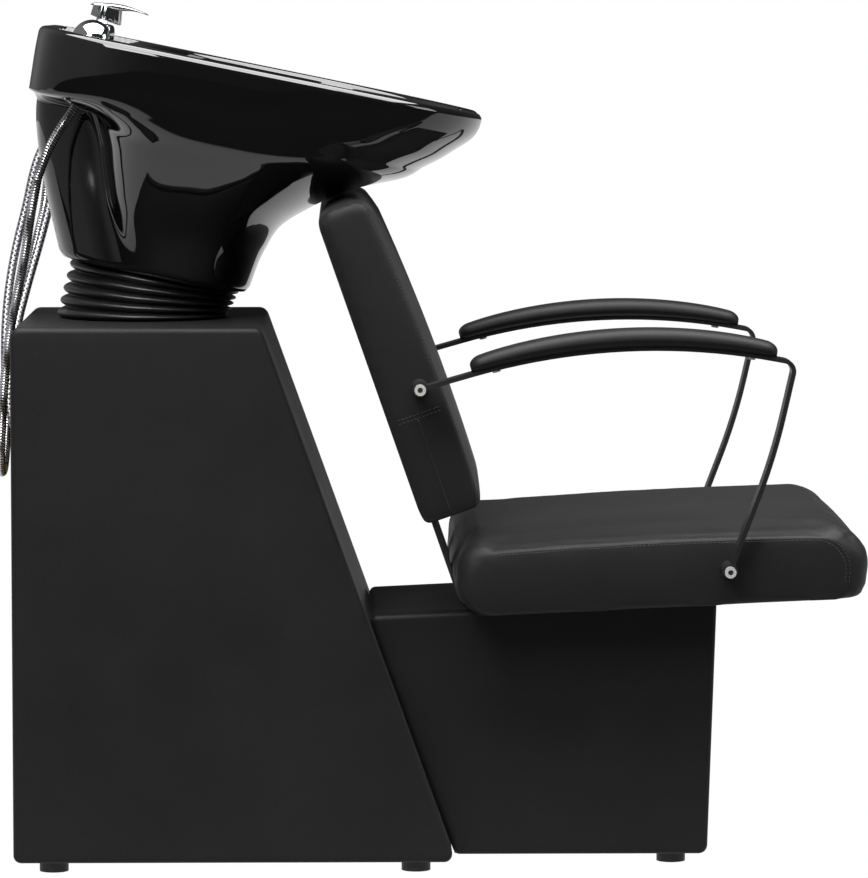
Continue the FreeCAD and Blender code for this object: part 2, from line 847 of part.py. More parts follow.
bend_half = (math.pi - (fall * -1).getAngle(run)) / 2
bend_reach = size("bracket_bend") * math.tan(bend_half)
ease = size("bracket_slot_clearance")
board_start = seat_place.inverse().multVec(strap_knee).x + bend_reach + ease

# Seat board and rails
seat_width = size("seat_width")
seat_board_blank = placed(
    box("seat_board_blank", f"Sizes.seat_length - Sizes.seat_board_margin - {board_start}",
        "Sizes.seat_width - 2 * Sizes.seat_rail_inset", "Sizes.board", ()),
    in_frame(seat_place, Vector(board_start, size("seat_rail_inset") - seat_width / 2, 0)))
rail_edge = seat_width / 2 - size("seat_rail_inset")
seat_rails = []
for name, low in (("left", rail_edge - size("seat_rail_width")), ("right", -rail_edge)):
    seat_rails.append(placed(
        box(f"seat_rail_{name}", "Sizes.seat_rail_length", "Sizes.seat_rail_width",
            "Sizes.seat_rail_height", ()),
        in_frame(seat_place, Vector(board_start, low, size("board")))))

# Seat bolts: from inside the seat base through its top, the bracket legs and the seat board
seat_bolts = []
seat_bolt_holes = []
bolt_foot = -size("bracket_thickness") - size("wrap_thickness") - size("board")
bolt_length = "Sizes.bracket_thickness + Sizes.wrap_thickness + Sizes.board + Sizes.seat_bolt_grip"
for along in ("seat_bolt_rear", "seat_bolt_front"):
    for side in (1, -1):
        number = len(seat_bolts)
        spot = Vector(size(along), side * size("bracket_spread"), bolt_foot)
        head_spot = spot - Vector(0, 0, size("seat_bolt_head_height"))
        shank = placed(cylinder(f"seat_bolt_shank_{number}", "Sizes.seat_bolt_radius", bolt_length, ()),
                       in_frame(seat_place, spot))
        head = placed(cylinder(f"seat_bolt_head_{number}", "Sizes.seat_bolt_head",
                               "Sizes.seat_bolt_head_height", ()),
                      in_frame(seat_place, head_spot))
        seat_bolts.append(fuse(f"seat_bolt_{number}", head, shank))
        seat_bolt_holes.append(placed(
            cylinder(f"seat_bolt_hole_{number}", "Sizes.seat_bolt_radius + Sizes.screw_clearance",
                     f"{bolt_length} + Sizes.screw_clearance", ()),
            in_frame(seat_place, spot)))
seat_bolt_tools = group("seat_bolt_holes", *seat_bolt_holes)
keep(group("seat_bolts", *seat_bolts))
keep(cut("seat_base_top_board", seat_base_top_blank, seat_bolt_tools))
keep(cut("seat_base_wrap", seat_wrap, seat_bolt_tools))
keep(cut("seat_board", seat_board_blank, seat_bolt_tools))

# Backrest board and rails
back_width = size("back_width")
board_face = size("bracket_cover") + size("bracket_thickness")
front_face = board_face + size("back_board")
back_rail_edge = back_width / 2 - size("back_rail_inset")
back_board_blank = placed(
    box("back_board_blank", "Sizes.back_board", "Sizes.back_width - 2 * Sizes.back_rail_inset",
        "Sizes.back_length - Sizes.back_board_low - Sizes.back_board_margin", ()),
    in_frame(back_place, Vector(board_face, -back_rail_edge, size("back_board_low"))))
back_rails = []
for name, low in (("left", back_rail_edge - size("back_rail_width")), ("right", -back_rail_edge)):
    back_rails.append(placed(
        box(f"back_rail_{name}", "Sizes.back_rail_height", "Sizes.back_rail_width",
            "Sizes.back_rail_length", ()),
        in_frame(back_place, Vector(front_face, low, size("back_rail_low")))))

bracket_bolts = []
bracket_bolt_holes = []
bracket_head_holes = []
for level in ("bracket_bolt_low", "bracket_bolt_high"):
    for side in (1, -1):
        number = len(bracket_bolts)
        spot = in_frame(back_place, Vector(size("bracket_cover"), side * size("bracket_spread"), size(level)))
        spot.Rotation = back_place.Rotation.multiply(turned["along"])
        head_spot = in_frame(back_place, Vector(front_face, side * size("bracket_spread"), size(level)))
        head_spot.Rotation = spot.Rotation
        shank = placed(cylinder(f"bracket_shank_{number}", "Sizes.bracket_bolt_radius",
                                "Sizes.bracket_thickness + Sizes.back_board", ()), spot)
        head = placed(cylinder(f"bracket_head_{number}", "Sizes.bracket_bolt_head",
                               "Sizes.bracket_bolt_head_height", ()), head_spot)
        bracket_bolts.append(fuse(f"bracket_bolt_{number}", head, shank))
        bracket_bolt_holes.append(placed(
            cylinder(f"bracket_hole_{number}", "Sizes.bracket_bolt_radius + Sizes.screw_clearance",
                     "Sizes.bracket_thickness + Sizes.back_board", ()), spot))
        bracket_head_holes.append(placed(
            cylinder(f"bracket_head_hole_{number}", "Sizes.bracket_bolt_head + Sizes.screw_clearance",
                     "Sizes.bracket_bolt_head_height + Sizes.screw_clearance", ()), head_spot))
bracket_tools = group("bracket_holes", *bracket_bolt_holes)
keep(group("bracket_bolts", *bracket_bolts))
keep(cut("backrest_board", back_board_blank, bracket_tools))
straps = []
seat_notches = []
back_slots = []
slot_width = size("bracket_width") + 2 * ease
for name, side in (("left", 1), ("right", -1)):
    middle_y = side * size("bracket_spread")
    straps.append(formed(f"back_strap_{name}", strap(strap_points, strap_radii, size("bracket_thickness"),
                                                     size("bracket_width"), middle_y)))
    notch_box = Part.makeBox(2 * board_start, slot_width, 2 * size("seat_notch_height"))
    notch_box.Placement = in_frame(seat_place, Vector(-board_start, middle_y - slot_width / 2,
                                                      -size("seat_notch_height")))
    seat_notches.append(notch_box)
    slot_height = size("bracket_rise") + ease + size("back_edge")
    slot_box = Part.makeBox(size("bracket_thickness") + 2 * ease, slot_width, slot_height)
    slot_box.Placement = in_frame(back_place, Vector(size("bracket_cover") - ease, middle_y - slot_width / 2,
                                                     -size("back_edge")))
    back_slots.append(slot_box)
keep(cut("back_brackets", group("back_straps", *straps), seat_bolt_tools, bracket_tools))

# Arms: a flat bar over the crest, round a bend at the front and down to the seat, with a boss at each end
arm_bends = ("rear", "crest", "bend", "knee", "foot")
arm_points = [(size(f"arm_{name}_x"), size(f"arm_{name}_z")) for name in arm_bends]
arm_radii = [0, size("arm_crest_radius"), size("arm_bend_radius"), size("arm_knee_radius"), 0]
arm_ends = {"rear": back_width / 2, "foot": seat_width / 2}
bar_half = size("arm_bar_width") / 2
arm_spread = max(arm_ends.values()) + size("arm_gap") + bar_half


def upright_cylinder(radius, length, along, near_y, up, side):
    return Part.makeCylinder(radius, length, Vector(along, near_y, up), Vector(0, side, 0))


def crest_frame(along):
    first = Vector(arm_points[0][0], 0, arm_points[0][1])
    crest = Vector(arm_points[1][0], 0, arm_points[1][1])
    second = Vector(arm_points[2][0], 0, arm_points[2][1])
    back = (first - crest).normalize()
    ahead = (second - crest).normalize()
    half_turn = (math.pi - back.getAngle(ahead)) / 2
    bisector = (back + ahead).normalize()
    centre = crest + bisector * (size("arm_crest_radius") / math.cos(half_turn))
    sine = (along - centre.x) / size("arm_crest_radius")
    outward = Vector(sine, 0, math.sqrt(1 - sine * sine))
    return centre + outward * size("arm_crest_radius"), outward


# Arm pad section: shares of its thickness for belly, shoulder and round, and of its half width for the rest
pad_form = {"belly": 0.32, "shoulder": 0.62, "round": 0.9, "tuck": 0.86, "brim": 0.8, "end_width": 0.8}
# Arm pad stations: share of its length, and how full it is there
pad_stations = ((0.0, 0.0), (0.03, 0.55), (0.12, 0.85), (0.3, 1.0), (0.5, 1.0), (0.7, 1.0), (0.88, 0.85),
                (0.97, 0.55), (1.0, 0.0))


def arm_pad_section(along, middle_y, thickness, half_width):
    foot_point, outward = crest_frame(along)
    lift = size("arm_bar_thickness") / 2 + size("arm_pad_gap")
    low = foot_point + outward * lift + Vector(0, middle_y, 0)
    high = low + outward * thickness
    shoulder = low + outward * (pad_form["shoulder"] * thickness)
    belly = low + outward * (pad_form["belly"] * thickness)
    crown = low + outward * (pad_form["round"] * thickness)
    side = Vector(0, half_width, 0)
    tuck = side * pad_form["tuck"]
    brim = side * pad_form["brim"]
    return Part.Wire([
        Part.LineSegment(low - tuck, low + tuck).toShape(),
        Part.Arc(low + tuck, belly + side, shoulder + side).toShape(),
        Part.Arc(shoulder + side, crown + brim, high).toShape(),
        Part.Arc(high, crown - brim, shoulder - side).toShape(),
        Part.Arc(shoulder - side, belly - side, low - tuck).toShape(),
    ])


def arm_pad(middle_y):
    start = size("arm_pad_start")
    span = size("arm_pad_end") - start
    wires = []
    for share, fullness in pad_stations:
        slim = size("arm_pad_end_thickness")
        thickness = slim + (size("arm_pad_thickness") - slim) * fullness
        end_width = pad_form["end_width"]
        half_width = size("arm_pad_width") / 2 * (end_width + (1 - end_width) * math.sqrt(fullness))
        wires.append(arm_pad_section(start + span * share, middle_y, thickness, half_width))
    return loft(wires)


arm_bolts = []
arm_washers = []
arm_spacers = []
pad_screws = []
arm_bolt_holes = []
for name, side in (("left", 1), ("right", -1)):
    middle_y = side * arm_spread
    bar = strap(arm_points, arm_radii, size("arm_bar_thickness"), size("arm_bar_width"), middle_y)
    near_y = middle_y - side * bar_half
    bar_outer_y = middle_y + side * bar_half
    bores = []
    for end, point in (("rear", arm_points[0]), ("foot", arm_points[-1])):
        side_face_y = side * arm_ends[end]
        rail_inset = size("back_rail_inset") if end == "rear" else size("seat_rail_inset")
        bar = bar.fuse(upright_cylinder(size("arm_boss_radius"), size("arm_bar_width"), point[0], near_y,
                                        point[1], side))
        bores.append(upright_cylinder(size("arm_bolt_radius") + size("screw_clearance"),
                                      size("arm_bar_width"), point[0], near_y, point[1], side))
        spacer_length = abs(near_y - side_face_y)
        spacer = upright_cylinder(size("arm_boss_radius"), spacer_length, point[0], side_face_y,
                                  point[1], side)
        spacer_bore = upright_cylinder(size("arm_bolt_radius") + size("screw_clearance"), spacer_length,
                                       point[0], side_face_y, point[1], side)
        arm_spacers.append(spacer.cut(spacer_bore))
        washer_y = bar_outer_y + side * size("arm_washer_thickness")
        washer = upright_cylinder(size("arm_washer_radius"), size("arm_washer_thickness"), point[0],
                                  bar_outer_y, point[1], side)
        washer_bore = upright_cylinder(size("arm_bolt_radius") + size("screw_clearance"),
                                       size("arm_washer_thickness"), point[0], bar_outer_y, point[1], side)
        arm_washers.append(washer.cut(washer_bore))
        grip = rail_inset + size("arm_bolt_grip")
        shank_length = abs(washer_y - side_face_y) + grip
        shank = upright_cylinder(size("arm_bolt_radius"), shank_length, point[0], washer_y, point[1], -side)
        head = upright_cylinder(size("arm_bolt_head"), size("arm_bolt_head_height"), point[0], washer_y,
                                point[1], side)
        socket = upright_cylinder(size("arm_bolt_socket"), size("arm_bolt_head_height") / 2, point[0],
                                  washer_y + side * size("arm_bolt_head_height"), point[1], -side)
        arm_bolts.append(head.fuse(shank).removeSplitter().cut(socket))
        arm_bolt_holes.append(upright_cylinder(size("arm_bolt_radius") + size("screw_clearance"),
                                               grip + size("screw_clearance"), point[0], side_face_y,
                                               point[1], -side))
    pad = arm_pad(middle_y)
    screw_inset = size("pad_screw_inset")
    for along in (size("arm_pad_start") + screw_inset, size("arm_pad_end") - screw_inset):
        level, outward = crest_frame(along)
        level = Vector(level.x, middle_y, level.z)
        under = level - outward * (size("arm_bar_thickness") / 2 + size("pad_screw_seat"))
        reach = (size("pad_screw_seat") + size("arm_bar_thickness") + size("arm_pad_gap")
                 + size("pad_screw_depth"))
        head = Part.makeCylinder(size("pad_screw_head"), size("pad_screw_head_height"), under, outward * -1)
        shank = Part.makeCylinder(size("pad_screw_radius"), reach, under, outward)
        pad_screws.append(head.fuse(shank).removeSplitter())
        pilot = Part.makeCylinder(size("pad_screw_radius") + size("screw_clearance"),
                                  reach + size("screw_clearance"), under, outward)
        pad = pad.cut(pilot)
        bores.append(pilot)
    for bore in bores:
        bar = bar.cut(bore)
    keep(formed(f"arm_bar_{name}", bar.removeSplitter()))
    keep(formed(f"arm_pad_{name}", pad))
keep(formed("arm_spacers", Part.makeCompound(arm_spacers + arm_washers)))
keep(formed("arm_bolts", Part.makeCompound(arm_bolts)))
keep(formed("arm_pad_screws", Part.makeCompound(pad_screws)))


# Seat cushion: side profiles of lines and arcs, drawn in at the two sides and crowned in the middle
# Where its arcs pass: shares of the lower edge, the lip, the nose and the rear corner
seat_arcs = {"edge_in": 0.28, "lip_rise": 0.34, "nose_in": 0.25, "nose_rise": 0.78, "crown_rear": 0.5,
             "rear_in": 0.25, "rear_drop": 0.2, "rear_high": 0.7, "rear_low": 0.8, "heel_in": 0.3,
             "heel_rise": 0.24}


def seat_profile(across, inset, crown):
    length = size("seat_length")
    height = size("seat_height")
    corner = size("seat_rear_corner")
    nose = size("seat_nose")
    lip = size("seat_nose_lip")
    edge = size("seat_edge")
    rear_x = inset
    front_x = length - inset
    high = height - inset + crown

    def point(along, up):
        return Vector(along, across, up)

    low_rear = point(rear_x + corner, 0)
    low_front = point(front_x - edge, 0)
    lip_point = point(front_x, lip)
    nose_point = point(front_x - nose, high)
    lip_round = point(front_x - edge * seat_arcs["edge_in"], lip * seat_arcs["lip_rise"])
    nose_round = point(front_x - nose * seat_arcs["nose_in"], lip + (high - lip) * seat_arcs["nose_rise"])
    top_middle = point((rear_x + front_x) / 2, high + size("seat_swell"))
    top_rear = point(rear_x + corner, high - crown * seat_arcs["crown_rear"])
    rear_round = point(rear_x + corner * seat_arcs["rear_in"], high - corner * seat_arcs["rear_drop"])
    rear_high = point(rear_x, high - corner * seat_arcs["rear_high"])
    rear_low = point(rear_x, corner * seat_arcs["rear_low"])
    heel_round = point(rear_x + corner * seat_arcs["heel_in"], corner * seat_arcs["heel_rise"])
    return Part.Wire([
        Part.LineSegment(low_rear, low_front).toShape(),
        Part.Arc(low_front, lip_round, lip_point).toShape(),
        Part.Arc(lip_point, nose_round, nose_point).toShape(),
        Part.Arc(nose_point, top_middle, top_rear).toShape(),
        Part.Arc(top_rear, rear_round, rear_high).toShape(),
        Part.LineSegment(rear_high, rear_low).toShape(),
        Part.Arc(rear_low, heel_round, low_rear).toShape(),
    ])


# Cushion slices from the side to the middle: shares of the half width, of the edge taken off it,
# of the edge that the outline is drawn in by, and of the crown
cushion_slices = ((1, 0, 0.55, 0), (1, 0.25, 0.2, 0.05), (1, 0.8, 0, 0.15), (0.75, 0, 0, 0.5),
                  (0.45, 0, 0, 0.85), (0, 0, 0, 1))


def cushion(profile, width, edge, crown):
    half = width / 2
    slices = [(half * reach - edge * off, edge * drawn, crown * lift)
              for reach, off, drawn, lift in cushion_slices]
    mirrored = [(-across, inset, lift) for across, inset, lift in slices[:-1]]
    wires = [profile(*row) for row in mirrored + slices[::-1]]
    return loft(wires, True)


doc.recompute()
seat_form = cushion(seat_profile, seat_width, size("seat_edge"), size("seat_crown"))
seat_form.Placement = seat_place
pocket_length = size("seat_length") - size("seat_board_margin") - board_start
seat_pocket = Part.makeBox(pocket_length, 2 * rail_edge, 2 * size("board"))
seat_pocket.Placement = in_frame(seat_place, Vector(board_start, -rail_edge, -size("board")))
for tool in [seat_pocket] + [rail.Shape for rail in seat_rails] + arm_bolt_holes + seat_notches:
    seat_form = seat_form.cut(tool)
keep(formed("seat_cushion", seat_form))


# Backrest cushion: a slab that thins upwards, with a lumbar swell low on its front
# Where its arcs pass: shares of the corner, of the inset at its foot and of its length
back_arcs = {"foot_in": 0.4, "foot_out": 0.06, "foot_rise": 0.4, "round": 0.29, "foot_inset": 0.5,
             "lumbar_level": 0.45}


def back_profile(across, inset, crown):
    length = size("back_length")
    corner = size("back_corner")
    low_thickness = size("back_thickness") + crown - inset
    high_thickness = size("back_top_thickness") + crown - inset
    swell = size("back_lumbar")

    def point(through, up):
        return Vector(through, across, up)

    base = inset * back_arcs["foot_inset"]
    top_level = length - inset
    cut_back = corner * back_arcs["round"]
    front_low = point(low_thickness - corner * back_arcs["foot_in"], base)
    front_foot = point(low_thickness - corner * back_arcs["foot_out"], base + corner * back_arcs["foot_rise"])
    front_rise = point(low_thickness, base + corner)
    front_top = point(high_thickness, top_level - corner)
    crest_front = point(high_thickness - corner, top_level)
    crest_rear = point(inset + corner, top_level)
    rear_top = point(inset, top_level - corner)
    heel_high = point(inset, base + size("back_heel_height"))
    heel_low = point(inset + size("back_heel"), base)
    middle = (low_thickness + high_thickness) / 2
    lumbar = point(middle + swell, length * back_arcs["lumbar_level"])
    front_round = point(high_thickness - cut_back, top_level - cut_back)
    rear_round = point(inset + cut_back, top_level - cut_back)
    return Part.Wire([
        Part.LineSegment(heel_low, front_low).toShape(),
        Part.Arc(front_low, front_foot, front_rise).toShape(),
        Part.Arc(front_rise, lumbar, front_top).toShape(),
        Part.Arc(front_top, front_round, crest_front).toShape(),
        Part.LineSegment(crest_front, crest_rear).toShape(),
        Part.Arc(crest_rear, rear_round, rear_top).toShape(),
        Part.LineSegment(rear_top, heel_high).toShape(),
        Part.LineSegment(heel_high, heel_low).toShape(),
    ])


back_form = cushion(back_profile, back_width, size("back_edge"), size("back_lumbar") / 2)
back_form.Placement = back_place
slot_low = in_frame(back_place, Vector(board_face, -back_rail_edge, -size("back_edge")))
slot = Part.makeBox(size("back_board"), 2 * back_rail_edge,
                    size("back_length") - size("back_board_margin") + size("back_edge"))
slot.Placement = slot_low
back_inserts = back_rails + bracket_head_holes + bracket_bolt_holes
for tool in [slot] + [insert.Shape for insert in back_inserts] + arm_bolt_holes + back_slots:
    back_form = back_form.cut(tool)
keep(formed("backrest_cushion", back_form))


def drilled(label, rails_list):
    shapes = []
    for rail in rails_list:
        shape = rail.Shape
        for hole in arm_bolt_holes:
            shape = shape.cut(hole)
        shapes.append(shape)
    return formed(label, Part.makeCompound(shapes))


keep(drilled("seat_frame_rails", seat_rails))
keep(drilled("backrest_frame_rails", back_rails))


# Bowl: a deep band under the rim, a funnel body, and a narrow spine behind it that leaves a scoop each side
def egg(rear_edge, front_edge, half_width, level, rear_square, front_square):
    points_round = 40
    middle = (rear_edge + front_edge) / 2
    half_length = (front_edge - rear_edge) / 2
    points = []
    for step in range(points_round):
        angle = 2 * math.pi * step / points_round
        square = front_square if math.cos(angle) > 0 else rear_square
        along = math.copysign(abs(math.cos(angle)) ** (2 / square), math.cos(angle))
        across = math.copysign(abs(math.sin(angle)) ** (2 / square), math.sin(angle))
        points.append(Vector(middle + half_length * along, half_width * across, level))
    curve = Part.BSplineCurve()
    curve.interpolate(Points=points, PeriodicFlag=True)
    return Part.Wire(curve.toShape())


bowl_length = size("bowl_length")
bowl_half = size("bowl_width") / 2
bowl_depth = size("bowl_depth")


# Each station: its level, its rear and front edge and its half width
def stack(rows, rear_square, front_square):
    wires = []
    for level, rear_edge, front_edge, half_width in rows:
        wires.append(egg(rear_edge, front_edge, half_width, level, rear_square, front_square))
    return loft(wires)


# Form of each body: shares of its depth, then of the way its rear, front and sides come in over that depth
band_form = ((0, 2, 0.167, 0.625), (0.114, 0, 0.033, 0), (0.343, 0, 0.133, 0), (0.657, 0.5, 0.533, 0.25),
             (1, 1, 1, 1))
funnel_form = ((0.234, 0.462, 0.230, 0.069), (0.352, 0.615, 0.365, 0.215), (0.469, 0.723, 0.617, 0.385),
               (0.570, 0.777, 0.774, 0.538), (0.672, 0.831, 0.896, 0.685), (0.797, 0.908, 0.957, 0.846),
               (1, 1, 1, 1))
spine_form = ((0.234, 0.114, 0.697), (0.352, 0.129, 0.727), (0.547, 0.300, 0.798), (0.719, 0.543, 0.879),
              (1, 1, 1))
basin_form = ((-0.019, 0.200, 0.084, 0.116), (0.093, 0.225, 0.145, 0.137), (0.280, 0.325, 0.321, 0.221),
              (0.467, 0.550, 0.534, 0.347), (0.654, 0.850, 0.763, 0.526), (0.832, 1, 0.916, 0.779),
              (1, 0.900, 1, 1))
band_squares = (5.0, 2.7)
body_squares = (3.0, 2.3)
band_depth = size("band_depth")
deck_end = size("deck_wall") + size("deck_length")
band = stack([(-down * band_depth, back * size("band_rear_tuck"),
               bowl_length - ahead * size("band_front_run"), bowl_half - side * size("band_side_tuck"))
              for down, back, ahead, side in band_form], *band_squares)
funnel_run = bowl_length - size("bowl_foot_front")
funnel = stack([(-down * bowl_depth, back * size("bowl_foot_rear"), bowl_length - ahead * funnel_run,
                 bowl_half - side * (bowl_half - size("bowl_foot_half")))
                for down, back, ahead, side in funnel_form], *body_squares)
spine = stack([(-down * bowl_depth, back * size("spine_foot_rear"), size("spine_front"),
                wide * size("spine_half"))
               for down, back, wide in spine_form], *body_squares)
outer = band.fuse(funnel).fuse(spine)
basin_run = bowl_length - size("basin_floor_front")
basin = stack([(-down * size("basin_depth"), deck_end + back * size("basin_rear_run"),
                bowl_length - ahead * basin_run, bowl_half - side * (bowl_half - size("basin_floor_half")))
               for down, back, ahead, side in basin_form], *body_squares)
deck_cut = Part.makeBox(size("deck_length"), 2 * size("deck_half_width"), 2 * size("deck_depth"),
                        Vector(size("deck_wall"), -size("deck_half_width"), -size("deck_depth")))
deck_under = size("deck_depth") + size("deck_thickness")
spine_top_half = spine_form[0][2] * size("spine_half")
pocket_low = -band_depth - size("scoop_drop")
pockets = []
for side in (1, -1):
    pocket_width = size("deck_half_width") - spine_top_half
    low_y = spine_top_half if side > 0 else -size("deck_half_width")
    pockets.append(Part.makeBox(size("deck_length") - size("bowl_skin"), pocket_width,
                                -deck_under - pocket_low, Vector(size("deck_wall"), low_y, pocket_low)))
notch_reach = size("neck_notch_reach")
notch_centre = Vector(bowl_length - notch_reach, 0, size("neck_notch_lift"))
notch = Part.makeCylinder(size("neck_notch_radius"), 2 * notch_reach, notch_centre, Vector(1, 0, 0))
drain_hole = Part.makeCylinder(size("drain_tail_radius") + size("drain_clearance"), bowl_depth,
                               Vector(size("hinge_along"), 0, -bowl_depth))
tap_hole = Part.makeCylinder(size("tap_shank_radius") + size("drain_clearance"), bowl_depth / 2,
                             Vector(size("tap_along"), size("tap_across"), -bowl_depth / 2))
holder_hole = Part.makeCylinder(size("holder_radius") + size("drain_clearance"), bowl_depth / 2,
                                Vector(size("shower_along"), -size("tap_across"), -bowl_depth / 2))
head_screw_holes = []
for along, across in hinge_corners:
    spot = Vector(size("hinge_along") + along * size("head_screw_along"), across * size("head_screw_across"),
                  -bowl_depth)
    head_screw_holes.append(Part.makeCylinder(size("hinge_screw_radius") + size("screw_clearance"),
                                              size("hinge_screw_depth") + size("screw_clearance"), spot))
bowl_shape = outer
for tool in [basin, deck_cut, notch, drain_hole, tap_hole, holder_hole] + pockets + head_screw_holes:
    bowl_shape = bowl_shape.cut(tool)
print("bowl volume", round(bowl_shape.Volume / 1e6, 3), "litres, solids", len(bowl_shape.Solids))
keep(formed("bowl", bowl_shape), bowl_place)

# Tilt hinge: a base bracket on the pedestal, a head bracket under the bowl, a pin through each pair of ears
ear_in = "Sizes.ear_spread"
ear_out = "(Sizes.ear_spread + Sizes.ear_thickness)"
washer_in = f"({ear_out} + Sizes.friction_gap)"
base_ear_in = f"({washer_in} + Sizes.friction_washer)"
base_ear_out = f"({base_ear_in} + Sizes.ear_thickness)"
pin_bore = "Sizes.hinge_pin_radius + Sizes.hinge_running"
head_low = "-(Sizes.bowl_depth + Sizes.hinge_plate)"


def facing(low, high, side):
    return low if side > 0 else f"-({high})"


def ear(label, along, up, foot_level, low, high, side):
    near = facing(low, high, side)
    width = f"({high}) - ({low})"
    stem_height = f"abs(({foot_level}) - ({up}))"
    stem_foot = f"min({foot_level}; {up})"
    stem = box(f"{label}_stem", "Sizes.ear_width", width, stem_height,
               (f"{along} - Sizes.ear_width / 2", near, stem_foot))
    eye = cylinder(f"{label}_eye", "Sizes.ear_radius", width, (along, near, up), "across")
    return [stem, eye]


head_plate = box("head_plate", "Sizes.head_plate_length", f"2 * {ear_out}", "Sizes.hinge_plate",
                 ("Sizes.hinge_along - Sizes.head_plate_length / 2", f"-{ear_out}", head_low))
head_parts = [head_plate]
base_plate_half = f"({base_ear_out} + Sizes.hinge_plate_overlap)"
base_plate = box("base_plate", "Sizes.hinge_plate_length", f"2 * {base_plate_half}", "Sizes.hinge_plate",
                 (f"{hinge_x} - Sizes.hinge_plate_length / 2", f"-{base_plate_half}", board_top))
base_parts = [base_plate]
pins = []
friction_washers = []
for name, side in (("left", 1), ("right", -1)):
    head_parts += ear(f"head_ear_{name}", "Sizes.hinge_along", f"-{hinge_low}", head_low,
                      ear_in, ear_out, side)
    base_parts += ear(f"base_ear_{name}", hinge_x, hinge_z, f"{board_top} + Sizes.hinge_plate",
                      base_ear_in, base_ear_out, side)
    shank = cylinder(f"pin_shank_{name}", "Sizes.hinge_pin_radius", f"{base_ear_out} - {ear_in}",
                     (hinge_x, facing(ear_in, base_ear_out, side), hinge_z), "across")
    head_far = f"{base_ear_out} + Sizes.hinge_head_height"
    head = cylinder(f"pin_head_{name}", "Sizes.hinge_head_radius", "Sizes.hinge_head_height",
                    (hinge_x, facing(base_ear_out, head_far, side), hinge_z), "across")
    pins.append(fuse(f"pin_{name}", shank, head))
    washer_low = facing(washer_in, base_ear_in, side)
    disc = cylinder(f"friction_disc_{name}", "Sizes.friction_washer_radius", "Sizes.friction_washer",
                    (hinge_x, washer_low, hinge_z), "across")
    disc_bore = cylinder(f"friction_bore_{name}", pin_bore, "Sizes.friction_washer",
                         (hinge_x, washer_low, hinge_z), "across")
    friction_washers.append(cut(f"friction_washer_{name}", disc, disc_bore))
head_bore = cylinder("head_bore", pin_bore, f"2 * {ear_out}",
                     ("Sizes.hinge_along", f"-{ear_out}", f"-{hinge_low}"), "across")
head_opening = cylinder("head_opening", "Sizes.head_plate_hole", "3 * Sizes.hinge_plate",
                        ("Sizes.hinge_along", "0", f"{head_low} - Sizes.hinge_plate"))
base_bore = cylinder("base_bore", pin_bore, f"2 * {base_ear_out}",
                     (hinge_x, f"-{base_ear_out}", hinge_z), "across")
base_opening = cylinder("base_opening", "Sizes.drain_opening", "3 * Sizes.hinge_plate",
                        (hinge_x, "0", f"{board_top} - Sizes.hinge_plate"))


def hinge_screw(label, along, across, under, direction):
    hole = "Sizes.hinge_screw_radius + Sizes.screw_clearance"
    length = "Sizes.hinge_plate + Sizes.hinge_screw_depth"
    shank_low = f"{under} - ({length})" if direction < 0 else under
    head_low_level = under if direction < 0 else f"{under} - Sizes.hinge_screw_head_height"
    shank = cylinder(f"{label}_shank", "Sizes.hinge_screw_radius", length, (along, across, shank_low))
    head = cylinder(f"{label}_head", "Sizes.hinge_screw_head", "Sizes.hinge_screw_head_height",
                    (along, across, head_low_level))
    bore = cylinder(f"{label}_bore", hole, length, (along, across, shank_low))
    return fuse(label, shank, head), bore


base_screws = []
base_bores = [base_bore, base_opening]
head_screws = []
head_bores = [head_bore, head_opening]
for number, (along, across) in enumerate(hinge_corners):
    screw, bore = hinge_screw(f"base_screw_{number}", f"{hinge_x} + {along} * Sizes.hinge_screw_along",
                              f"{across} * Sizes.hinge_screw_across", f"{board_top} + Sizes.hinge_plate", -1)
    base_screws.append(screw)
    base_bores.append(bore)
    screw, bore = hinge_screw(f"head_screw_{number}", f"Sizes.hinge_along + {along} * Sizes.head_screw_along",
                              f"{across} * Sizes.head_screw_across", head_low, 1)
    head_screws.append(screw)
    head_bores.append(bore)
keep(cut("tilt_base_bracket", fuse("base_bracket_blank", *base_parts), *base_bores))
keep(cut("tilt_head_bracket", fuse("head_bracket_blank", *head_parts), *head_bores), bowl_place)
keep(group("tilt_pins", *pins))
keep(group("tilt_friction_washers", *friction_washers))
keep(group("tilt_base_screws", *base_screws))
keep(group("tilt_head_screws", *head_screws), bowl_place)

# Bellows: pleats that fan out from the level pedestal top to the tilted underside of the bowl
hinge_point = bowl_place.multVec(Vector(size("hinge_along"), 0, -bowl_depth - size("hinge_drop")))
bellows_foot = Vector(hinge_point.x + size("bellows_shift"), 0, size("pedestal_top"))
bellows_head = bowl_place.multVec(Vector(size("hinge_along"), 0, -bowl_depth - size("bellows_gap")))


def bellows_ring(share, radius):
    centre = bellows_foot + (bellows_head - bellows_foot) * share
    axis = Vector(math.sin(rim_tilt * share), 0, math.cos(rim_tilt * share))
    return Part.Wire(Part.makeCircle(radius, centre, axis))


pleats = int(size("bellows_pleats"))
# Shares of a pleat's height between which it is widest, and how far the bore is carried past both ends
pleat_rise = 0.32
pleat_fall = 0.68
bore_overrun = 0.2
rings = [bellows_ring(0, size("bellows_valley"))]
for pleat in range(pleats):
    rings.append(bellows_ring((pleat + pleat_rise) / pleats, size("bellows_outer")))
    rings.append(bellows_ring((pleat + pleat_fall) / pleats, size("bellows_outer")))
    rings.append(bellows_ring((pleat + 1) / pleats, size("bellows_valley")))
hollow = loft([bellows_ring(-bore_overrun, size("bellows_bore")),
               bellows_ring(1 + bore_overrun, size("bellows_bore"))], True)
keep(formed("bellows", loft(rings, True).cut(hollow)))

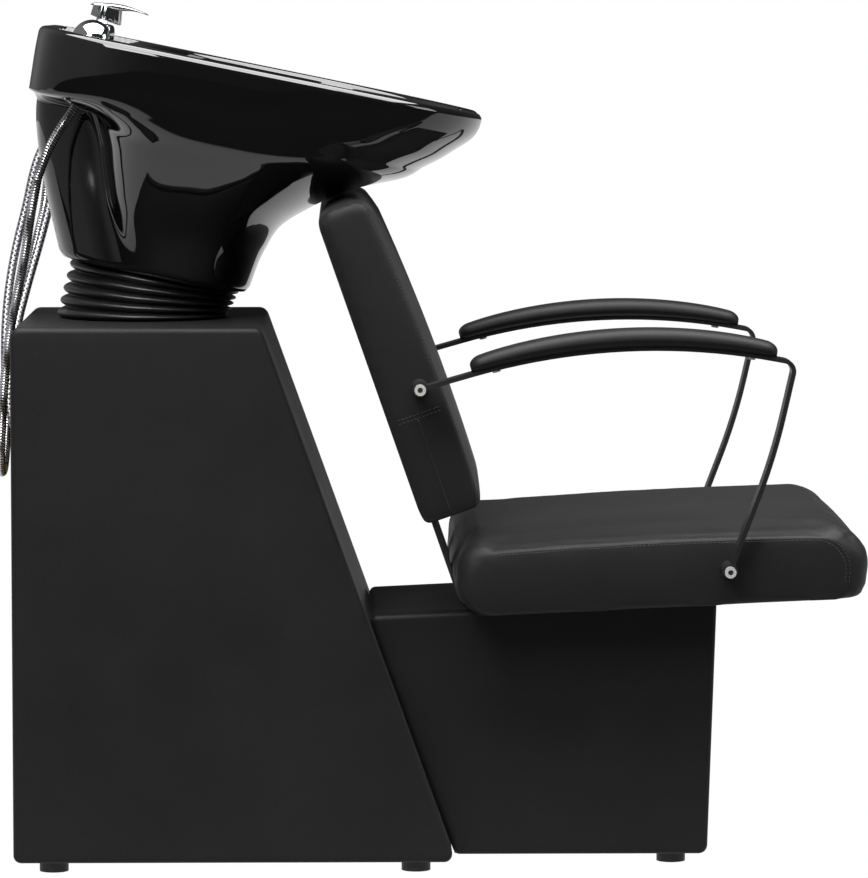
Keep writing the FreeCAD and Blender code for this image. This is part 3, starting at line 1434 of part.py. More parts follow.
# Drain: a flanged tail through the bowl's floor, a nut under it and a lift-out strainer
floor_level = "-Sizes.basin_depth"
drain_x = "Sizes.hinge_along"
tail_low = "-(Sizes.bowl_depth + Sizes.drain_tail_length)"
tail_length = f"({floor_level} - {tail_low})"
drain_blank = fuse("drain_blank",
                   cylinder("drain_flange_disc", "Sizes.drain_flange_radius", "Sizes.drain_flange",
                            (drain_x, "0", floor_level)),
                   cylinder("drain_tail", "Sizes.drain_tail_radius", tail_length, (drain_x, "0", tail_low)))
drain_bore = cylinder("drain_bore", "Sizes.drain_bore", f"{tail_length} + Sizes.drain_flange",
                      (drain_x, "0", tail_low))
keep(cut("drain_body", drain_blank, drain_bore), bowl_place)
nut_low = "-(Sizes.bowl_depth + Sizes.drain_nut_height)"
nut_spot = (drain_x, "0", nut_low)
keep(cut("drain_nut",
         cylinder("drain_nut_blank", "Sizes.drain_nut_radius", "Sizes.drain_nut_height", nut_spot),
         cylinder("drain_nut_bore", "Sizes.drain_tail_radius + Sizes.screw_clearance",
                  "Sizes.drain_nut_height", nut_spot)), bowl_place)
strainer_low = "(Sizes.drain_flange - Sizes.basin_depth)"
stem_radius = "(Sizes.drain_bore - Sizes.strainer_running)"
strainer_blank = fuse("strainer_blank",
                      cylinder("strainer_disc", "Sizes.strainer_radius", "Sizes.strainer_thickness",
                               (drain_x, "0", strainer_low)),
                      cylinder("strainer_stem", stem_radius, "Sizes.strainer_stem",
                               (drain_x, "0", f"{strainer_low} - Sizes.strainer_stem")))
strainer_cuts = [cylinder("strainer_hollow", f"{stem_radius} - Sizes.strainer_stem_wall",
                          "Sizes.strainer_stem", (drain_x, "0", f"{strainer_low} - Sizes.strainer_stem"))]
hole_count = int(size("strainer_holes"))
for step in range(hole_count):
    turn = f"{360 * step / hole_count}"
    strainer_cuts.append(cylinder(f"strainer_hole_{step}", "Sizes.strainer_hole",
                                  "2 * Sizes.strainer_thickness",
                                  (f"{drain_x} + Sizes.strainer_ring * cos({turn})",
                                   f"Sizes.strainer_ring * sin({turn})",
                                   f"{strainer_low} - Sizes.strainer_thickness / 2")))
keep(cut("strainer", strainer_blank, *strainer_cuts), bowl_place)

# Tap: a body through the deck, a swivelling cap on its stem and a lever hinged on the cap's tongue
tap_spot = ("Sizes.tap_along", "Sizes.tap_across")
deck_level = "-Sizes.deck_depth"
tap_top = "(Sizes.tap_base_height + Sizes.tap_body_height - Sizes.deck_depth)"
swivel_low = f"({tap_top} + Sizes.swivel_gap)"
swivel_top = f"({swivel_low} + Sizes.swivel_height)"
lever_pin = f"({swivel_top} + Sizes.lever_rise)"
stem_length = "(Sizes.swivel_height - Sizes.lever_cheek)"
keep(fuse("mixer_body",
          cylinder("tap_base", "Sizes.tap_base_radius", "Sizes.tap_base_height", (*tap_spot, deck_level)),
          cylinder("tap_barrel", "Sizes.tap_body_radius", "Sizes.tap_base_height + Sizes.tap_body_height",
                   (*tap_spot, deck_level)),
          cylinder("tap_shank", "Sizes.tap_shank_radius", "Sizes.tap_shank_length",
                   (*tap_spot, f"{deck_level} - Sizes.tap_shank_length")),
          cylinder("tap_stem", "Sizes.tap_stem_radius", stem_length, (*tap_spot, tap_top))), bowl_place)
tongue_low = "Sizes.tap_across - Sizes.tongue_half"
keep(cut("mixer_swivel",
         fuse("swivel_blank",
              cylinder("swivel_cap", "Sizes.swivel_radius", "Sizes.swivel_height", (*tap_spot, swivel_low)),
              box("swivel_tongue", "2 * Sizes.tongue_radius", "2 * Sizes.tongue_half", "Sizes.lever_rise",
                  ("Sizes.tap_along - Sizes.tongue_radius", tongue_low, swivel_top)),
              cylinder("tongue_eye", "Sizes.tongue_radius", "2 * Sizes.tongue_half",
                       ("Sizes.tap_along", tongue_low, lever_pin), "across")),
         cylinder("swivel_bore", "Sizes.tap_stem_radius + Sizes.hinge_running",
                  f"{stem_length} + Sizes.swivel_gap", (*tap_spot, swivel_low)),
         cylinder("tongue_bore", "Sizes.lever_pin_radius + Sizes.hinge_running", "2 * Sizes.tongue_half",
                  ("Sizes.tap_along", tongue_low, lever_pin), "across")), bowl_place)
cheek_in = "(Sizes.tongue_half + Sizes.lever_gap)"
cheek_out = f"({cheek_in} + Sizes.lever_cheek)"
lever_low = f"({lever_pin} + Sizes.lever_lift)"
lever_crest_x = "Sizes.tap_along + Sizes.lever_crest_along"
lever_tip_x = "Sizes.tap_along + Sizes.lever_length"
lever_parts = [
    prism("lever_handle",
          [
              ("Sizes.tap_along - Sizes.lever_tail", lever_low),
              ("Sizes.tap_along - Sizes.lever_tail", f"{lever_low} + Sizes.lever_tail_height"),
              ("Sizes.tap_along", f"{lever_low} + Sizes.lever_shoulder"),
              (lever_crest_x, f"{lever_low} + Sizes.lever_crest"),
              (lever_tip_x, f"{lever_low} + Sizes.lever_tip_level + Sizes.lever_tip"),
              (lever_tip_x, f"{lever_low} + Sizes.lever_tip_level"),
              (lever_crest_x, f"{lever_low} + Sizes.lever_crest - Sizes.lever_thickness"),
              ("Sizes.tap_along + Sizes.lever_root", lever_low),
          ],
          "Sizes.lever_width", "Sizes.tap_across + Sizes.lever_width / 2"),
    cylinder("lever_pin_rod", "Sizes.lever_pin_radius", f"2 * {cheek_out}",
             ("Sizes.tap_along", f"Sizes.tap_across - {cheek_out}", lever_pin), "across"),
]
for name, side in (("left", 1), ("right", -1)):
    cheek_y = f"Sizes.tap_across + {facing(cheek_in, cheek_out, side)}"
    lever_parts.append(box(f"lever_cheek_{name}", "2 * Sizes.tongue_radius", "Sizes.lever_cheek",
                           "Sizes.lever_lift", ("Sizes.tap_along - Sizes.tongue_radius", cheek_y, lever_pin)))
    lever_parts.append(cylinder(f"lever_eye_{name}", "Sizes.tongue_radius", "Sizes.lever_cheek",
                                ("Sizes.tap_along", cheek_y, lever_pin), "across"))
keep(fuse("mixer_lever", *lever_parts), bowl_place)

# Hand shower: parked in a flanged holder on the deck, with its spray face to the front
shower_spot = ("Sizes.shower_along", "-Sizes.tap_across")
holder_top = "(Sizes.holder_flange_height - Sizes.deck_depth)"
holder_low = "-(Sizes.deck_depth + Sizes.holder_length)"
keep(cut("shower_holder",
         fuse("holder_blank",
              cylinder("holder_rim", "Sizes.holder_flange", "Sizes.holder_flange_height",
                       (*shower_spot, deck_level)),
              cylinder("holder_tube", "Sizes.holder_radius", "Sizes.holder_length",
                       (*shower_spot, holder_low))),
         cylinder("holder_bore", "Sizes.shower_stem_radius + Sizes.shower_running",
                  "Sizes.holder_length + Sizes.holder_flange_height",
                  (*shower_spot, holder_low))), bowl_place)
nut_level = "-(Sizes.deck_depth + Sizes.deck_thickness + Sizes.deck_nut_height)"
deck_nuts = []
nut_seats = (("tap", tap_spot, "Sizes.tap_shank_radius"), ("shower", shower_spot, "Sizes.holder_radius"))
for name, spot, radius in nut_seats:
    deck_nuts.append(cut(f"{name}_nut",
                         cylinder(f"{name}_nut_blank", "Sizes.deck_nut_radius", "Sizes.deck_nut_height",
                                  (*spot, nut_level)),
                         cylinder(f"{name}_nut_bore", f"{radius} + Sizes.screw_clearance",
                                  "Sizes.deck_nut_height", (*spot, nut_level))))
keep(group("deck_nuts", *deck_nuts), bowl_place)

dome_centre = Vector(size("shower_along"), -size("tap_across"), size("shower_lift") - size("deck_depth"))
dome_low = size("holder_flange_height") - size("deck_depth") + size("shower_seat_gap")
dome = Part.makeSphere(size("shower_radius"), dome_centre)
reach = 2 * size("shower_radius")
below = Part.makeBox(2 * reach, 2 * reach, reach,
                     Vector(dome_centre.x - reach, dome_centre.y - reach, dome_low - reach))
face_x = dome_centre.x + size("spray_offset")
ahead = Part.makeBox(reach, 2 * reach, 2 * reach,
                     Vector(face_x + size("spray_thickness"), dome_centre.y - reach, dome_centre.z - reach))
stem = Part.makeCylinder(size("shower_stem_radius"), size("shower_stem_length") + size("shower_radius") / 2,
                         Vector(dome_centre.x, dome_centre.y, dome_low - size("shower_stem_length")))
face_spot = Vector(face_x, dome_centre.y, dome_centre.z + size("spray_rise"))
face_seat = Part.makeCylinder(size("spray_radius") + size("spray_clearance"), reach, face_spot,
                              Vector(1, 0, 0))
keep(formed("shower_head", dome.cut(below).cut(ahead).fuse(stem).removeSplitter().cut(face_seat)), bowl_place)
keep(formed("shower_face", Part.makeCylinder(size("spray_radius"), size("spray_thickness"), face_spot,
                                             Vector(1, 0, 0))), bowl_place)


# Hoses: straight runs joined by tangent arcs
def hose(label, points, diameter):
    radii = [0]
    for step in range(1, len(points) - 1):
        back = points[step - 1] - points[step]
        ahead_run = points[step + 1] - points[step]
        half_turn = (math.pi - back.getAngle(ahead_run)) / 2
        radii.append(0.45 * min(back.Length, ahead_run.Length) / math.tan(half_turn))
    radii.append(0)
    path = Part.Wire(rounded_edges(points, radii, False))
    start = (points[1] - points[0]).normalize()
    ring = Part.Wire(Part.makeCircle(diameter / 2, points[0], start))
    shape = path.makePipeShell([ring], True, False)
    expected = math.pi * diameter ** 2 / 4 * path.Length
    print(label, "length", round(path.Length), "radii", [round(radius) for radius in radii[1:-1]],
          "volume ratio", round(shape.Volume / expected, 4))
    return keep(formed(label, shape))


def on_bowl(along, across, level):
    return bowl_place.multVec(Vector(along, across, level))


stem_low = dome_low - size("shower_stem_length") - size("hose_end_gap")
shank_low = -size("deck_depth") - size("tap_shank_length") - size("hose_end_gap")
tap_x = size("tap_along")
tap_y = size("tap_across")
port = size("tap_port_radius")
riser = [
    on_bowl(size("shower_along"), -tap_y, stem_low),
    on_bowl(size("shower_along"), -tap_y - 0.5, stem_low - 22),
    on_bowl(46, -tap_y - 6, -110),
    on_bowl(36, -tap_y - 9, -142),
    on_bowl(32, -tap_y - 9, -172),
]
riser_way = (riser[-1] - riser[-2]).normalize()
loop = [
    riser[-1] + riser_way * size("hose_joint_gap"),
    Vector(-463, -100, 745),
    Vector(-469, -90, 705),
    Vector(-479, -76, 657),
    Vector(-490, -62, 612),
    Vector(-499, -50, 540),
    Vector(-504, -47, 440),
    Vector(-504, 47, 440),
    Vector(-499, 62, 540),
    Vector(-490, 80, 612),
    Vector(-479, 93, 657),
    Vector(-469, 104, 705),
    Vector(-459, 113, 745),
    on_bowl(31, tap_y + 28, -172),
    on_bowl(33, tap_y + 26, -140),
    on_bowl(44, tap_y + 20, -108),
    on_bowl(59.5, tap_y + 10.5, -72),
    on_bowl(tap_x, tap_y + port, shank_low),
]
hose("shower_hose_riser", riser, size("shower_hose"))
hose("shower_hose_loop", loop, size("shower_hose"))
cold = [
    on_bowl(tap_x - 0.8 * port, tap_y - 0.6 * port, shank_low),
    on_bowl(tap_x - 8.5, tap_y - 5, -78),
    on_bowl(34, tap_y + 5, -112),
    on_bowl(19, tap_y + 12, -144),
    Vector(-472, 99, 785),
    Vector(-480, 95, 745),
    Vector(-491, 84, 702),
    Vector(-499, 67, 655),
    Vector(-503, 51, 608),
    Vector(-503, 38, 555),
    Vector(-499, 31, 502),
    Vector(-470, 27, 456),
    Vector(-420, 25, 440),
]
hot = [
    on_bowl(tap_x + 0.8 * port, tap_y - 0.6 * port, shank_low),
    on_bowl(tap_x + 7.7, tap_y - 5, -74),
    on_bowl(56, tap_y + 6, -106),
    on_bowl(42, tap_y + 12, -142),
    Vector(-446, 102, 785),
    Vector(-453, 100, 745),
    Vector(-464, 84, 702),
    Vector(-477, 64, 655),
    Vector(-489, 44, 608),
    Vector(-496, 20, 555),
    Vector(-497, 1, 502),
    Vector(-470, -6, 456),
    Vector(-420, -8, 440),
]
hose("supply_hose_cold", cold, size("supply_hose"))
hose("supply_hose_hot", hot, size("supply_hose"))
supply_nuts = []
for route in (cold, hot):
    heading = (route[-1] - route[-2]).normalize()
    blank = Part.makeCylinder(size("nut_radius"), size("nut_length"), route[-1], heading)
    thread = Part.makeCylinder(size("nut_thread"), size("nut_length"),
                               route[-1] + heading * size("nut_floor"), heading)
    supply_nuts.append(blank.cut(thread))
keep(formed("supply_nuts", Part.makeCompound(supply_nuts)))

os.makedirs("parts", exist_ok=True)
doc.recompute()
broken = []
for piece in doc.Objects:
    if "Invalid" in piece.State or "Error" in piece.State:
        broken.append(f"{piece.Label} {piece.State}")
for piece in sub_parts:
    if piece.Shape.isNull() or not piece.Shape.isValid():
        broken.append(f"{piece.Label} shape")
if broken:
    raise RuntimeError("failed objects: " + ", ".join(broken))
for piece in sub_parts:
    piece.Shape.exportStep(f"parts/{piece.Label}.step")
print(len(sub_parts), "sub-parts written")
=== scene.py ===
import json
import math

import bmesh
import bpy
import numpy as np
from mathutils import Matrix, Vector
from mathutils.bvhtree import BVHTree

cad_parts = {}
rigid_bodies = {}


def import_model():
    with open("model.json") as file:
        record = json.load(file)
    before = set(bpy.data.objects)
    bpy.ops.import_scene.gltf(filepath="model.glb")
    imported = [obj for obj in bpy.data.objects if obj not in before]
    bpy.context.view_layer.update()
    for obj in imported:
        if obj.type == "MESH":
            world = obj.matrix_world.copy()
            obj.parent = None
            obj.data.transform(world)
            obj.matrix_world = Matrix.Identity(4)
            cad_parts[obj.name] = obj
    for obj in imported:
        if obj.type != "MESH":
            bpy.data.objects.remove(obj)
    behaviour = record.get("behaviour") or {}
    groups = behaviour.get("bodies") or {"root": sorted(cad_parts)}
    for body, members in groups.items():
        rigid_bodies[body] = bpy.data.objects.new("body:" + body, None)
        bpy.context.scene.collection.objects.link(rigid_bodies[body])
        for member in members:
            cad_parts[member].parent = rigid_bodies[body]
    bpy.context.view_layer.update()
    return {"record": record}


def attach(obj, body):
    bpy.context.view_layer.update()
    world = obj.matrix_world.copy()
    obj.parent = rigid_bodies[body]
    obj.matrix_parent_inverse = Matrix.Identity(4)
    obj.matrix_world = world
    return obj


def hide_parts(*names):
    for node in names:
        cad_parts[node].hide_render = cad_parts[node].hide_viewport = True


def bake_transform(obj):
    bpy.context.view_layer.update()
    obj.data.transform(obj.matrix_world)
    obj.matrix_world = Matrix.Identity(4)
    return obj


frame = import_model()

scene = bpy.context.scene
fullTurn = 2 * math.pi
millimetre = 0.001


# Sets a node's inputs, each to a plain value or to another node's output
def feed(tree, node, inputs):
    for key, value in inputs.items():
        if isinstance(value, bpy.types.NodeSocket):
            tree.links.new(value, node.inputs[key])
        else:
            node.inputs[key].default_value = value
    return node


def addNode(tree, kind, inputs, **settings):
    node = tree.nodes.new("ShaderNode" + kind)
    for key, value in settings.items():
        setattr(node, key, value)
    return feed(tree, node, inputs)


def maths(tree, operation, *terms):
    return addNode(tree, "Math", dict(enumerate(terms)), operation=operation).outputs[0]


def noiseField(tree, place, scale, detail):
    inputs = {"Vector": place, "Scale": scale, "Detail": detail, "Roughness": 0.55}
    return addNode(tree, "TexNoise", inputs).outputs["Fac"]


# Stretches a field from 0 to 1 onto the span from low to high
def spread(tree, field, low, high):
    return addNode(tree, "MapRange", {"Value": field, "To Min": low, "To Max": high}).outputs["Result"]


def tint(tree, field, dark, light):
    mix = addNode(tree, "Mix", {}, data_type="RGBA")
    feed(tree, mix, {"Factor": field, "A": dark, "B": light})
    return next(output for output in mix.outputs if output.type == "RGBA")


def bumpFrom(tree, field, strength, distance, before=None):
    bump = addNode(tree, "Bump", {"Height": field, "Strength": strength, "Distance": distance})
    if before is not None:
        feed(tree, bump, {"Normal": before})
    return bump.outputs["Normal"]


# Colour from one grey level, or from a level each for red, green and blue
def tone(levels):
    return (*np.broadcast_to(levels, 3).tolist(), 1.0)


# Node group with colour, roughness and normal coming out, filled in by a function of its named inputs
def surfaceGroup(name, inputs, fill):
    group = bpy.data.node_groups.new(name, "ShaderNodeTree")
    for key, kind in inputs.items():
        group.interface.new_socket(key, in_out="INPUT", socket_type="NodeSocket" + kind)
    for key, kind in (("Color", "Color"), ("Roughness", "Float"), ("Normal", "Vector")):
        group.interface.new_socket(key, in_out="OUTPUT", socket_type="NodeSocket" + kind)
    given = group.nodes.new("NodeGroupInput").outputs
    feed(group, group.nodes.new("NodeGroupOutput"), fill(group, given))
    return group


# Speckle: broad noise moves the colour, fine noise the roughness and the bump
def speckleNodes(tree, given):
    wide = noiseField(tree, given["Vector"], given["Wide Scale"], 4.0)
    fine = noiseField(tree, given["Vector"], given["Fine Scale"], 5.0)
    return {"Color": tint(tree, wide, given["Dark"], given["Light"]),
            "Roughness": spread(tree, fine, given["Smoothest"], given["Roughest"]),
            "Normal": bumpFrom(tree, fine, given["Bump"], given["Depth"])}


# Wood grain: distorted level bands
def woodNodes(tree, given):
    inputs = {"Vector": given["Vector"], "Scale": 40.0, "Distortion": 6.0, "Detail": 3.0, "Detail Scale": 1.5}
    bands = addNode(tree, "TexWave", inputs, wave_type="BANDS", bands_direction="Z").outputs["Fac"]
    return {"Color": tint(tree, bands, given["Dark"], given["Light"]),
            "Roughness": spread(tree, bands, 0.6, 0.75),
            "Normal": bumpFrom(tree, bands, 0.15, 0.0004)}


# Winding on a hose: the greater of two sine waves of length times rounds per metre plus turn times strands
def windingNodes(tree, given):
    apart = addNode(tree, "SeparateXYZ", {"Vector": given["Vector"]}).outputs
    waves = []
    for strands in (given["Strands"], given["Counter Strands"]):
        around = maths(tree, "MULTIPLY", apart["Y"], strands)
        along = maths(tree, "MULTIPLY_ADD", apart["X"], given["Rounds"], around)
        wave = maths(tree, "SINE", maths(tree, "MULTIPLY", along, fullTurn))
        waves.append(maths(tree, "MULTIPLY_ADD", wave, 0.5, 0.5))
    weave = maths(tree, "MAXIMUM", *waves)
    return {"Color": tint(tree, weave, given["Dark"], given["Light"]),
            "Roughness": spread(tree, weave, given["Smoothest"], given["Roughest"]),
            "Normal": bumpFrom(tree, weave, 0.6, 0.0006)}


woodInputs = {"Vector": "Vector", "Dark": "Color", "Light": "Color"}
polishInputs = {**woodInputs, "Smoothest": "Float", "Roughest": "Float"}
speckle = surfaceGroup("speckle", {**polishInputs, "Wide Scale": "Float", "Fine Scale": "Float",
                                   "Bump": "Float", "Depth": "Float"}, speckleNodes)
woodGrain = surfaceGroup("woodGrain", woodInputs, woodNodes)
winding = surfaceGroup("winding", {**polishInputs, "Rounds": "Float", "Strands": "Float",
                                   "Counter Strands": "Float"}, windingNodes)


def newMaterial(name):
    material = bpy.data.materials.new(name)
    material.use_nodes = True
    return material, material.node_tree, material.node_tree.nodes["Principled BSDF"]


def objectPlace(tree):
    return addNode(tree, "TexCoord", {}).outputs["Object"]


# Material whose shader takes colour, roughness and normal from one of the groups
def groupFinish(name, group, values, shaderInputs, hose=False):
    material, tree, shader = newMaterial(name)
    place = addNode(tree, "UVMap", {}, uv_map="pieceUv").outputs["UV"] if hose else objectPlace(tree)
    pattern = addNode(tree, "Group", {}, node_tree=group)
    feed(tree, pattern, {"Vector": place, **values})
    feed(tree, shader, {"Base Color": pattern.outputs["Color"], "Roughness": pattern.outputs["Roughness"],
                        "Normal": pattern.outputs["Normal"], **shaderInputs})
    return material


def speckled(name, dark, light, scale, rough, bump, metallic=0.0, coat=0.0, specular=0.5, depth=0.0003):
    values = {"Dark": tone(dark), "Light": tone(light), "Wide Scale": scale * 0.06, "Fine Scale": scale,
              "Smoothest": rough[0], "Roughest": rough[1], "Bump": bump, "Depth": depth}
    return groupFinish(name, speckle, values, {"Metallic": metallic, "Coat Weight": coat,
                                               "Specular IOR Level": specular})


def wound(name, dark, light, rough, pitch, strands, counterStrands):
    values = {"Dark": tone(dark), "Light": tone(light), "Smoothest": rough[0], "Roughest": rough[1],
              "Rounds": 1 / pitch, "Strands": strands, "Counter Strands": counterStrands}
    return groupFinish(name, winding, values, {"Metallic": 1.0}, hose=True)


def wooden(name, dark, light):
    return groupFinish(name, woodGrain, {"Dark": tone(dark), "Light": tone(light)}, {})


leather = {"dark": (0.0070, 0.0070, 0.0073), "light": (0.0100, 0.0100, 0.0104), "rough": (0.42, 0.54),
           "cells": 620.0, "stretch": 9.0, "pores": 1500.0}


# Grained leather: small cells for the grain, fine pores, broad waves where it is stretched
def grainedLeather(name):
    material, tree, shader = newMaterial(name)
    place = objectPlace(tree)
    cells = addNode(tree, "TexVoronoi", {}, feature="DISTANCE_TO_EDGE")
    feed(tree, cells, {"Vector": place, "Scale": leather["cells"]})
    broad = noiseField(tree, place, leather["stretch"], 3.0)
    fine = noiseField(tree, place, leather["pores"], 2.0)
    grain = bumpFrom(tree, cells.outputs["Distance"], 0.35, 0.0004)
    pores = bumpFrom(tree, fine, 0.12, 0.0002, grain)
    feed(tree, shader, {"Base Color": tint(tree, broad, tone(leather["dark"]), tone(leather["light"])),
                        "Roughness": spread(tree, broad, *leather["rough"]),
                        "Normal": bumpFrom(tree, broad, 0.25, 0.004, pores),
                        "Specular IOR Level": 0.18, "Sheen Weight": 0.03, "Sheen Roughness": 0.5})
    return material


speckles = {
    "threadBlack": {"dark": 0.010, "light": 0.030, "scale": 900, "rough": (0.6, 0.8), "bump": 0.3},
    # Painted shade: darker than the leather, for the groove of the backrest's folded seam
    "grooveShade": {"dark": 0.0020, "light": 0.0032, "scale": 700, "rough": (0.7, 0.85), "bump": 0.2},
    "padFoam": {"dark": 0.0045, "light": 0.0070, "scale": 700, "rough": (0.45, 0.58), "bump": 0.25,
                "specular": 0.22},
    "glossBlack": {"dark": (0.0020, 0.0020, 0.0021), "light": (0.0032, 0.0032, 0.0034), "scale": 60,
                   "rough": (0.03, 0.07), "bump": 0.02, "coat": 0.6, "depth": 0.0002},
    "rubberBlack": {"dark": 0.006, "light": 0.014, "scale": 350, "rough": (0.26, 0.4), "bump": 0.1},
    "powderCoat": {"dark": 0.006, "light": 0.011, "scale": 1400, "rough": (0.3, 0.42), "bump": 0.25},
    "chromeBright": {"dark": (0.46, 0.47, 0.48), "light": (0.60, 0.61, 0.62), "scale": 45,
                     "rough": (0.04, 0.09), "bump": 0.01, "metallic": 1.0},
    "zincBright": {"dark": (0.55, 0.55, 0.54), "light": (0.78, 0.78, 0.76), "scale": 500,
                   "rough": (0.2, 0.36), "bump": 0.12, "metallic": 0.55},
    "steelRolled": {"dark": (0.10, 0.10, 0.105), "light": (0.20, 0.20, 0.21), "scale": 300,
                    "rough": (0.3, 0.5), "bump": 0.1, "metallic": 1.0},
    "plasticDark": {"dark": 0.010, "light": 0.018, "scale": 600, "rough": (0.4, 0.55), "bump": 0.2},
    "brassPlain": {"dark": (0.56, 0.40, 0.17), "light": (0.70, 0.53, 0.26), "scale": 300,
                   "rough": (0.2, 0.35), "bump": 0.08, "metallic": 1.0},
}
finishes = {name: speckled(name, **values) for name, values in speckles.items()}
finishes["leatherBlack"] = grainedLeather("leatherBlack")
finishes["plywood"] = wooden("plywood", (0.33, 0.21, 0.11), (0.52, 0.37, 0.22))
finishes["plywoodLined"] = wooden("plywoodLined", 0.006, (0.014, 0.013, 0.012))
finishes["spiralChrome"] = wound("spiralChrome", (0.30, 0.30, 0.31), (0.80, 0.80, 0.82), (0.12, 0.3),
                                 0.0032, 1, 1)
finishes["braidSteel"] = wound("braidSteel", (0.07, 0.07, 0.075), (0.52, 0.52, 0.54), (0.25, 0.45),
                               0.006, 4, -4)
slotFinish = {"plywood": "plywood", "black_upholstery": "leatherBlack", "arm_pad_foam": "padFoam",
              "foot_plastic": "plasticDark", "zinc_fasteners": "zincBright", "bracket_steel": "steelRolled",
              "black_powder_coat": "powderCoat", "bellows_rubber": "rubberBlack", "bowl_gloss": "glossBlack",
              "chrome": "chromeBright", "dark_plastic": "plasticDark", "brass_fittings": "brassPlain",
              "hose_braid": "braidSteel"}
print("stage materials")


# Values of all points of a mesh as rows of three
def rowsOf(points, key):
    values = np.empty(len(points) * 3, dtype=np.float32)
    points.foreach_get(key, values)
    return values.reshape(-1, 3).astype(float)


def setPoints(mesh, points):
    mesh.vertices.foreach_set("co", points.astype(np.float32).ravel())
    mesh.update()


# Closed mesh with its faces turned outwards; its own coordinates, if any, run on past the seam
def meshPiece(name, points, faces, slot, finish=None, smooth=True, uv=None):
    mesh = bpy.data.meshes.new(name)
    mesh.from_pydata(np.asarray(points, dtype=float).reshape(-1, 3).tolist(), [], faces)
    if uv is not None:
        layer = mesh.uv_layers.new(name="pieceUv")
        loopPoints = np.empty(len(mesh.loops), dtype=np.int32)
        mesh.loops.foreach_get("vertex_index", loopPoints)
        spots = np.asarray(uv, dtype=np.float32)[loopPoints]
        quads = sum(len(face) == 4 for face in faces)
        block = spots[:quads * 4].reshape(-1, 4, 2)
        seam = (np.ptp(block[..., 1], axis=1) > 0.5)[:, None]
        block[..., 1] += seam & (block[..., 1] < 0.5)
        layer.data.foreach_set("uv", spots.ravel())
    mesh.polygons.foreach_set("use_smooth", [smooth] * len(mesh.polygons))
    mesh.materials.append(finishes[finish or slotFinish[slot]])
    work = bmesh.new()
    work.from_mesh(mesh)
    bmesh.ops.recalc_face_normals(work, faces=work.faces)
    work.to_mesh(mesh)
    work.free()
    mesh.update()
    piece = bpy.data.objects.new(name, mesh)
    scene.collection.objects.link(piece)
    return piece


# Quads between the rows of a grid; the columns join up, and the rows do when closed
def gridFaces(rows, closeRows=False, start=0):
    count, around = rows.shape[:2]
    row, column = np.meshgrid(np.arange(count if closeRows else count - 1), np.arange(around), indexing="ij")
    below = (row + 1) % count
    right = (column + 1) % around
    quads = np.stack([row * around + column, row * around + right,
                      below * around + right, below * around + column], axis=-1)
    return (quads.reshape(-1, 4) + start).tolist()


# Quads between the rows and a lid on the first and the last row
def closedFaces(rows, start=0):
    count, around = rows.shape[:2]
    last = start + (count - 1) * around
    lids = [list(range(start, start + around)), list(range(last, last + around))]
    return gridFaces(rows, start=start) + lids


def rowsPiece(name, rows, slot, **looks):
    return meshPiece(name, rows, closedFaces(rows), slot, **looks)


# Several closed shells, and a ring that has a hole through it, as one mesh
def joined(shells, ring=None):
    points, faces, done = [], [], 0
    for rows in shells:
        faces += closedFaces(rows, start=done)
        points.append(rows.reshape(-1, 3))
        done += len(points[-1])
    if ring is not None:
        faces += gridFaces(ring, closeRows=True, start=done)
        points.append(ring.reshape(-1, 3))
    return np.concatenate(points), faces


# Mesh of a piece with its modifiers applied
def appliedMesh(piece):
    bpy.context.view_layer.update()
    return bpy.data.meshes.new_from_object(piece.evaluated_get(bpy.context.evaluated_depsgraph_get()))


# Grid of points from the arrays of their three coordinates
def stacked(x, y, z):
    return np.stack(np.broadcast_arrays(x, y, z), axis=-1)


def ringTurns(count):
    return np.linspace(0, fullTurn, count, endpoint=False)


def runs(stretches):
    return np.concatenate([np.linspace(*stretch) for stretch in stretches])


# Points of the arc through three points, end points included
def arcThrough(first, middle, last, count):
    first, middle, last = (np.asarray(point, dtype=float) for point in (first, middle, last))
    a = middle - first
    b = last - first
    cross = 2 * (a[0] * b[1] - a[1] * b[0])
    centre = first + np.array([b[1] * (a @ a) - a[1] * (b @ b), a[0] * (b @ b) - b[0] * (a @ a)]) / cross
    radius = np.linalg.norm(first - centre)
    angles = [math.atan2(*(point - centre)[::-1]) for point in (first, middle, last)]
    turn = (angles[2] - angles[0]) % fullTurn
    if (angles[1] - angles[0]) % fullTurn > turn:
        turn -= fullTurn
    sweep = angles[0] + turn * np.linspace(0, 1, count)
    return centre + radius * np.stack([np.cos(sweep), np.sin(sweep)], axis=1)


def straight(first, last, count):
    share = np.linspace(0, 1, count)[:, None]
    return np.asarray(first, dtype=float) * (1 - share) + np.asarray(last, dtype=float) * share


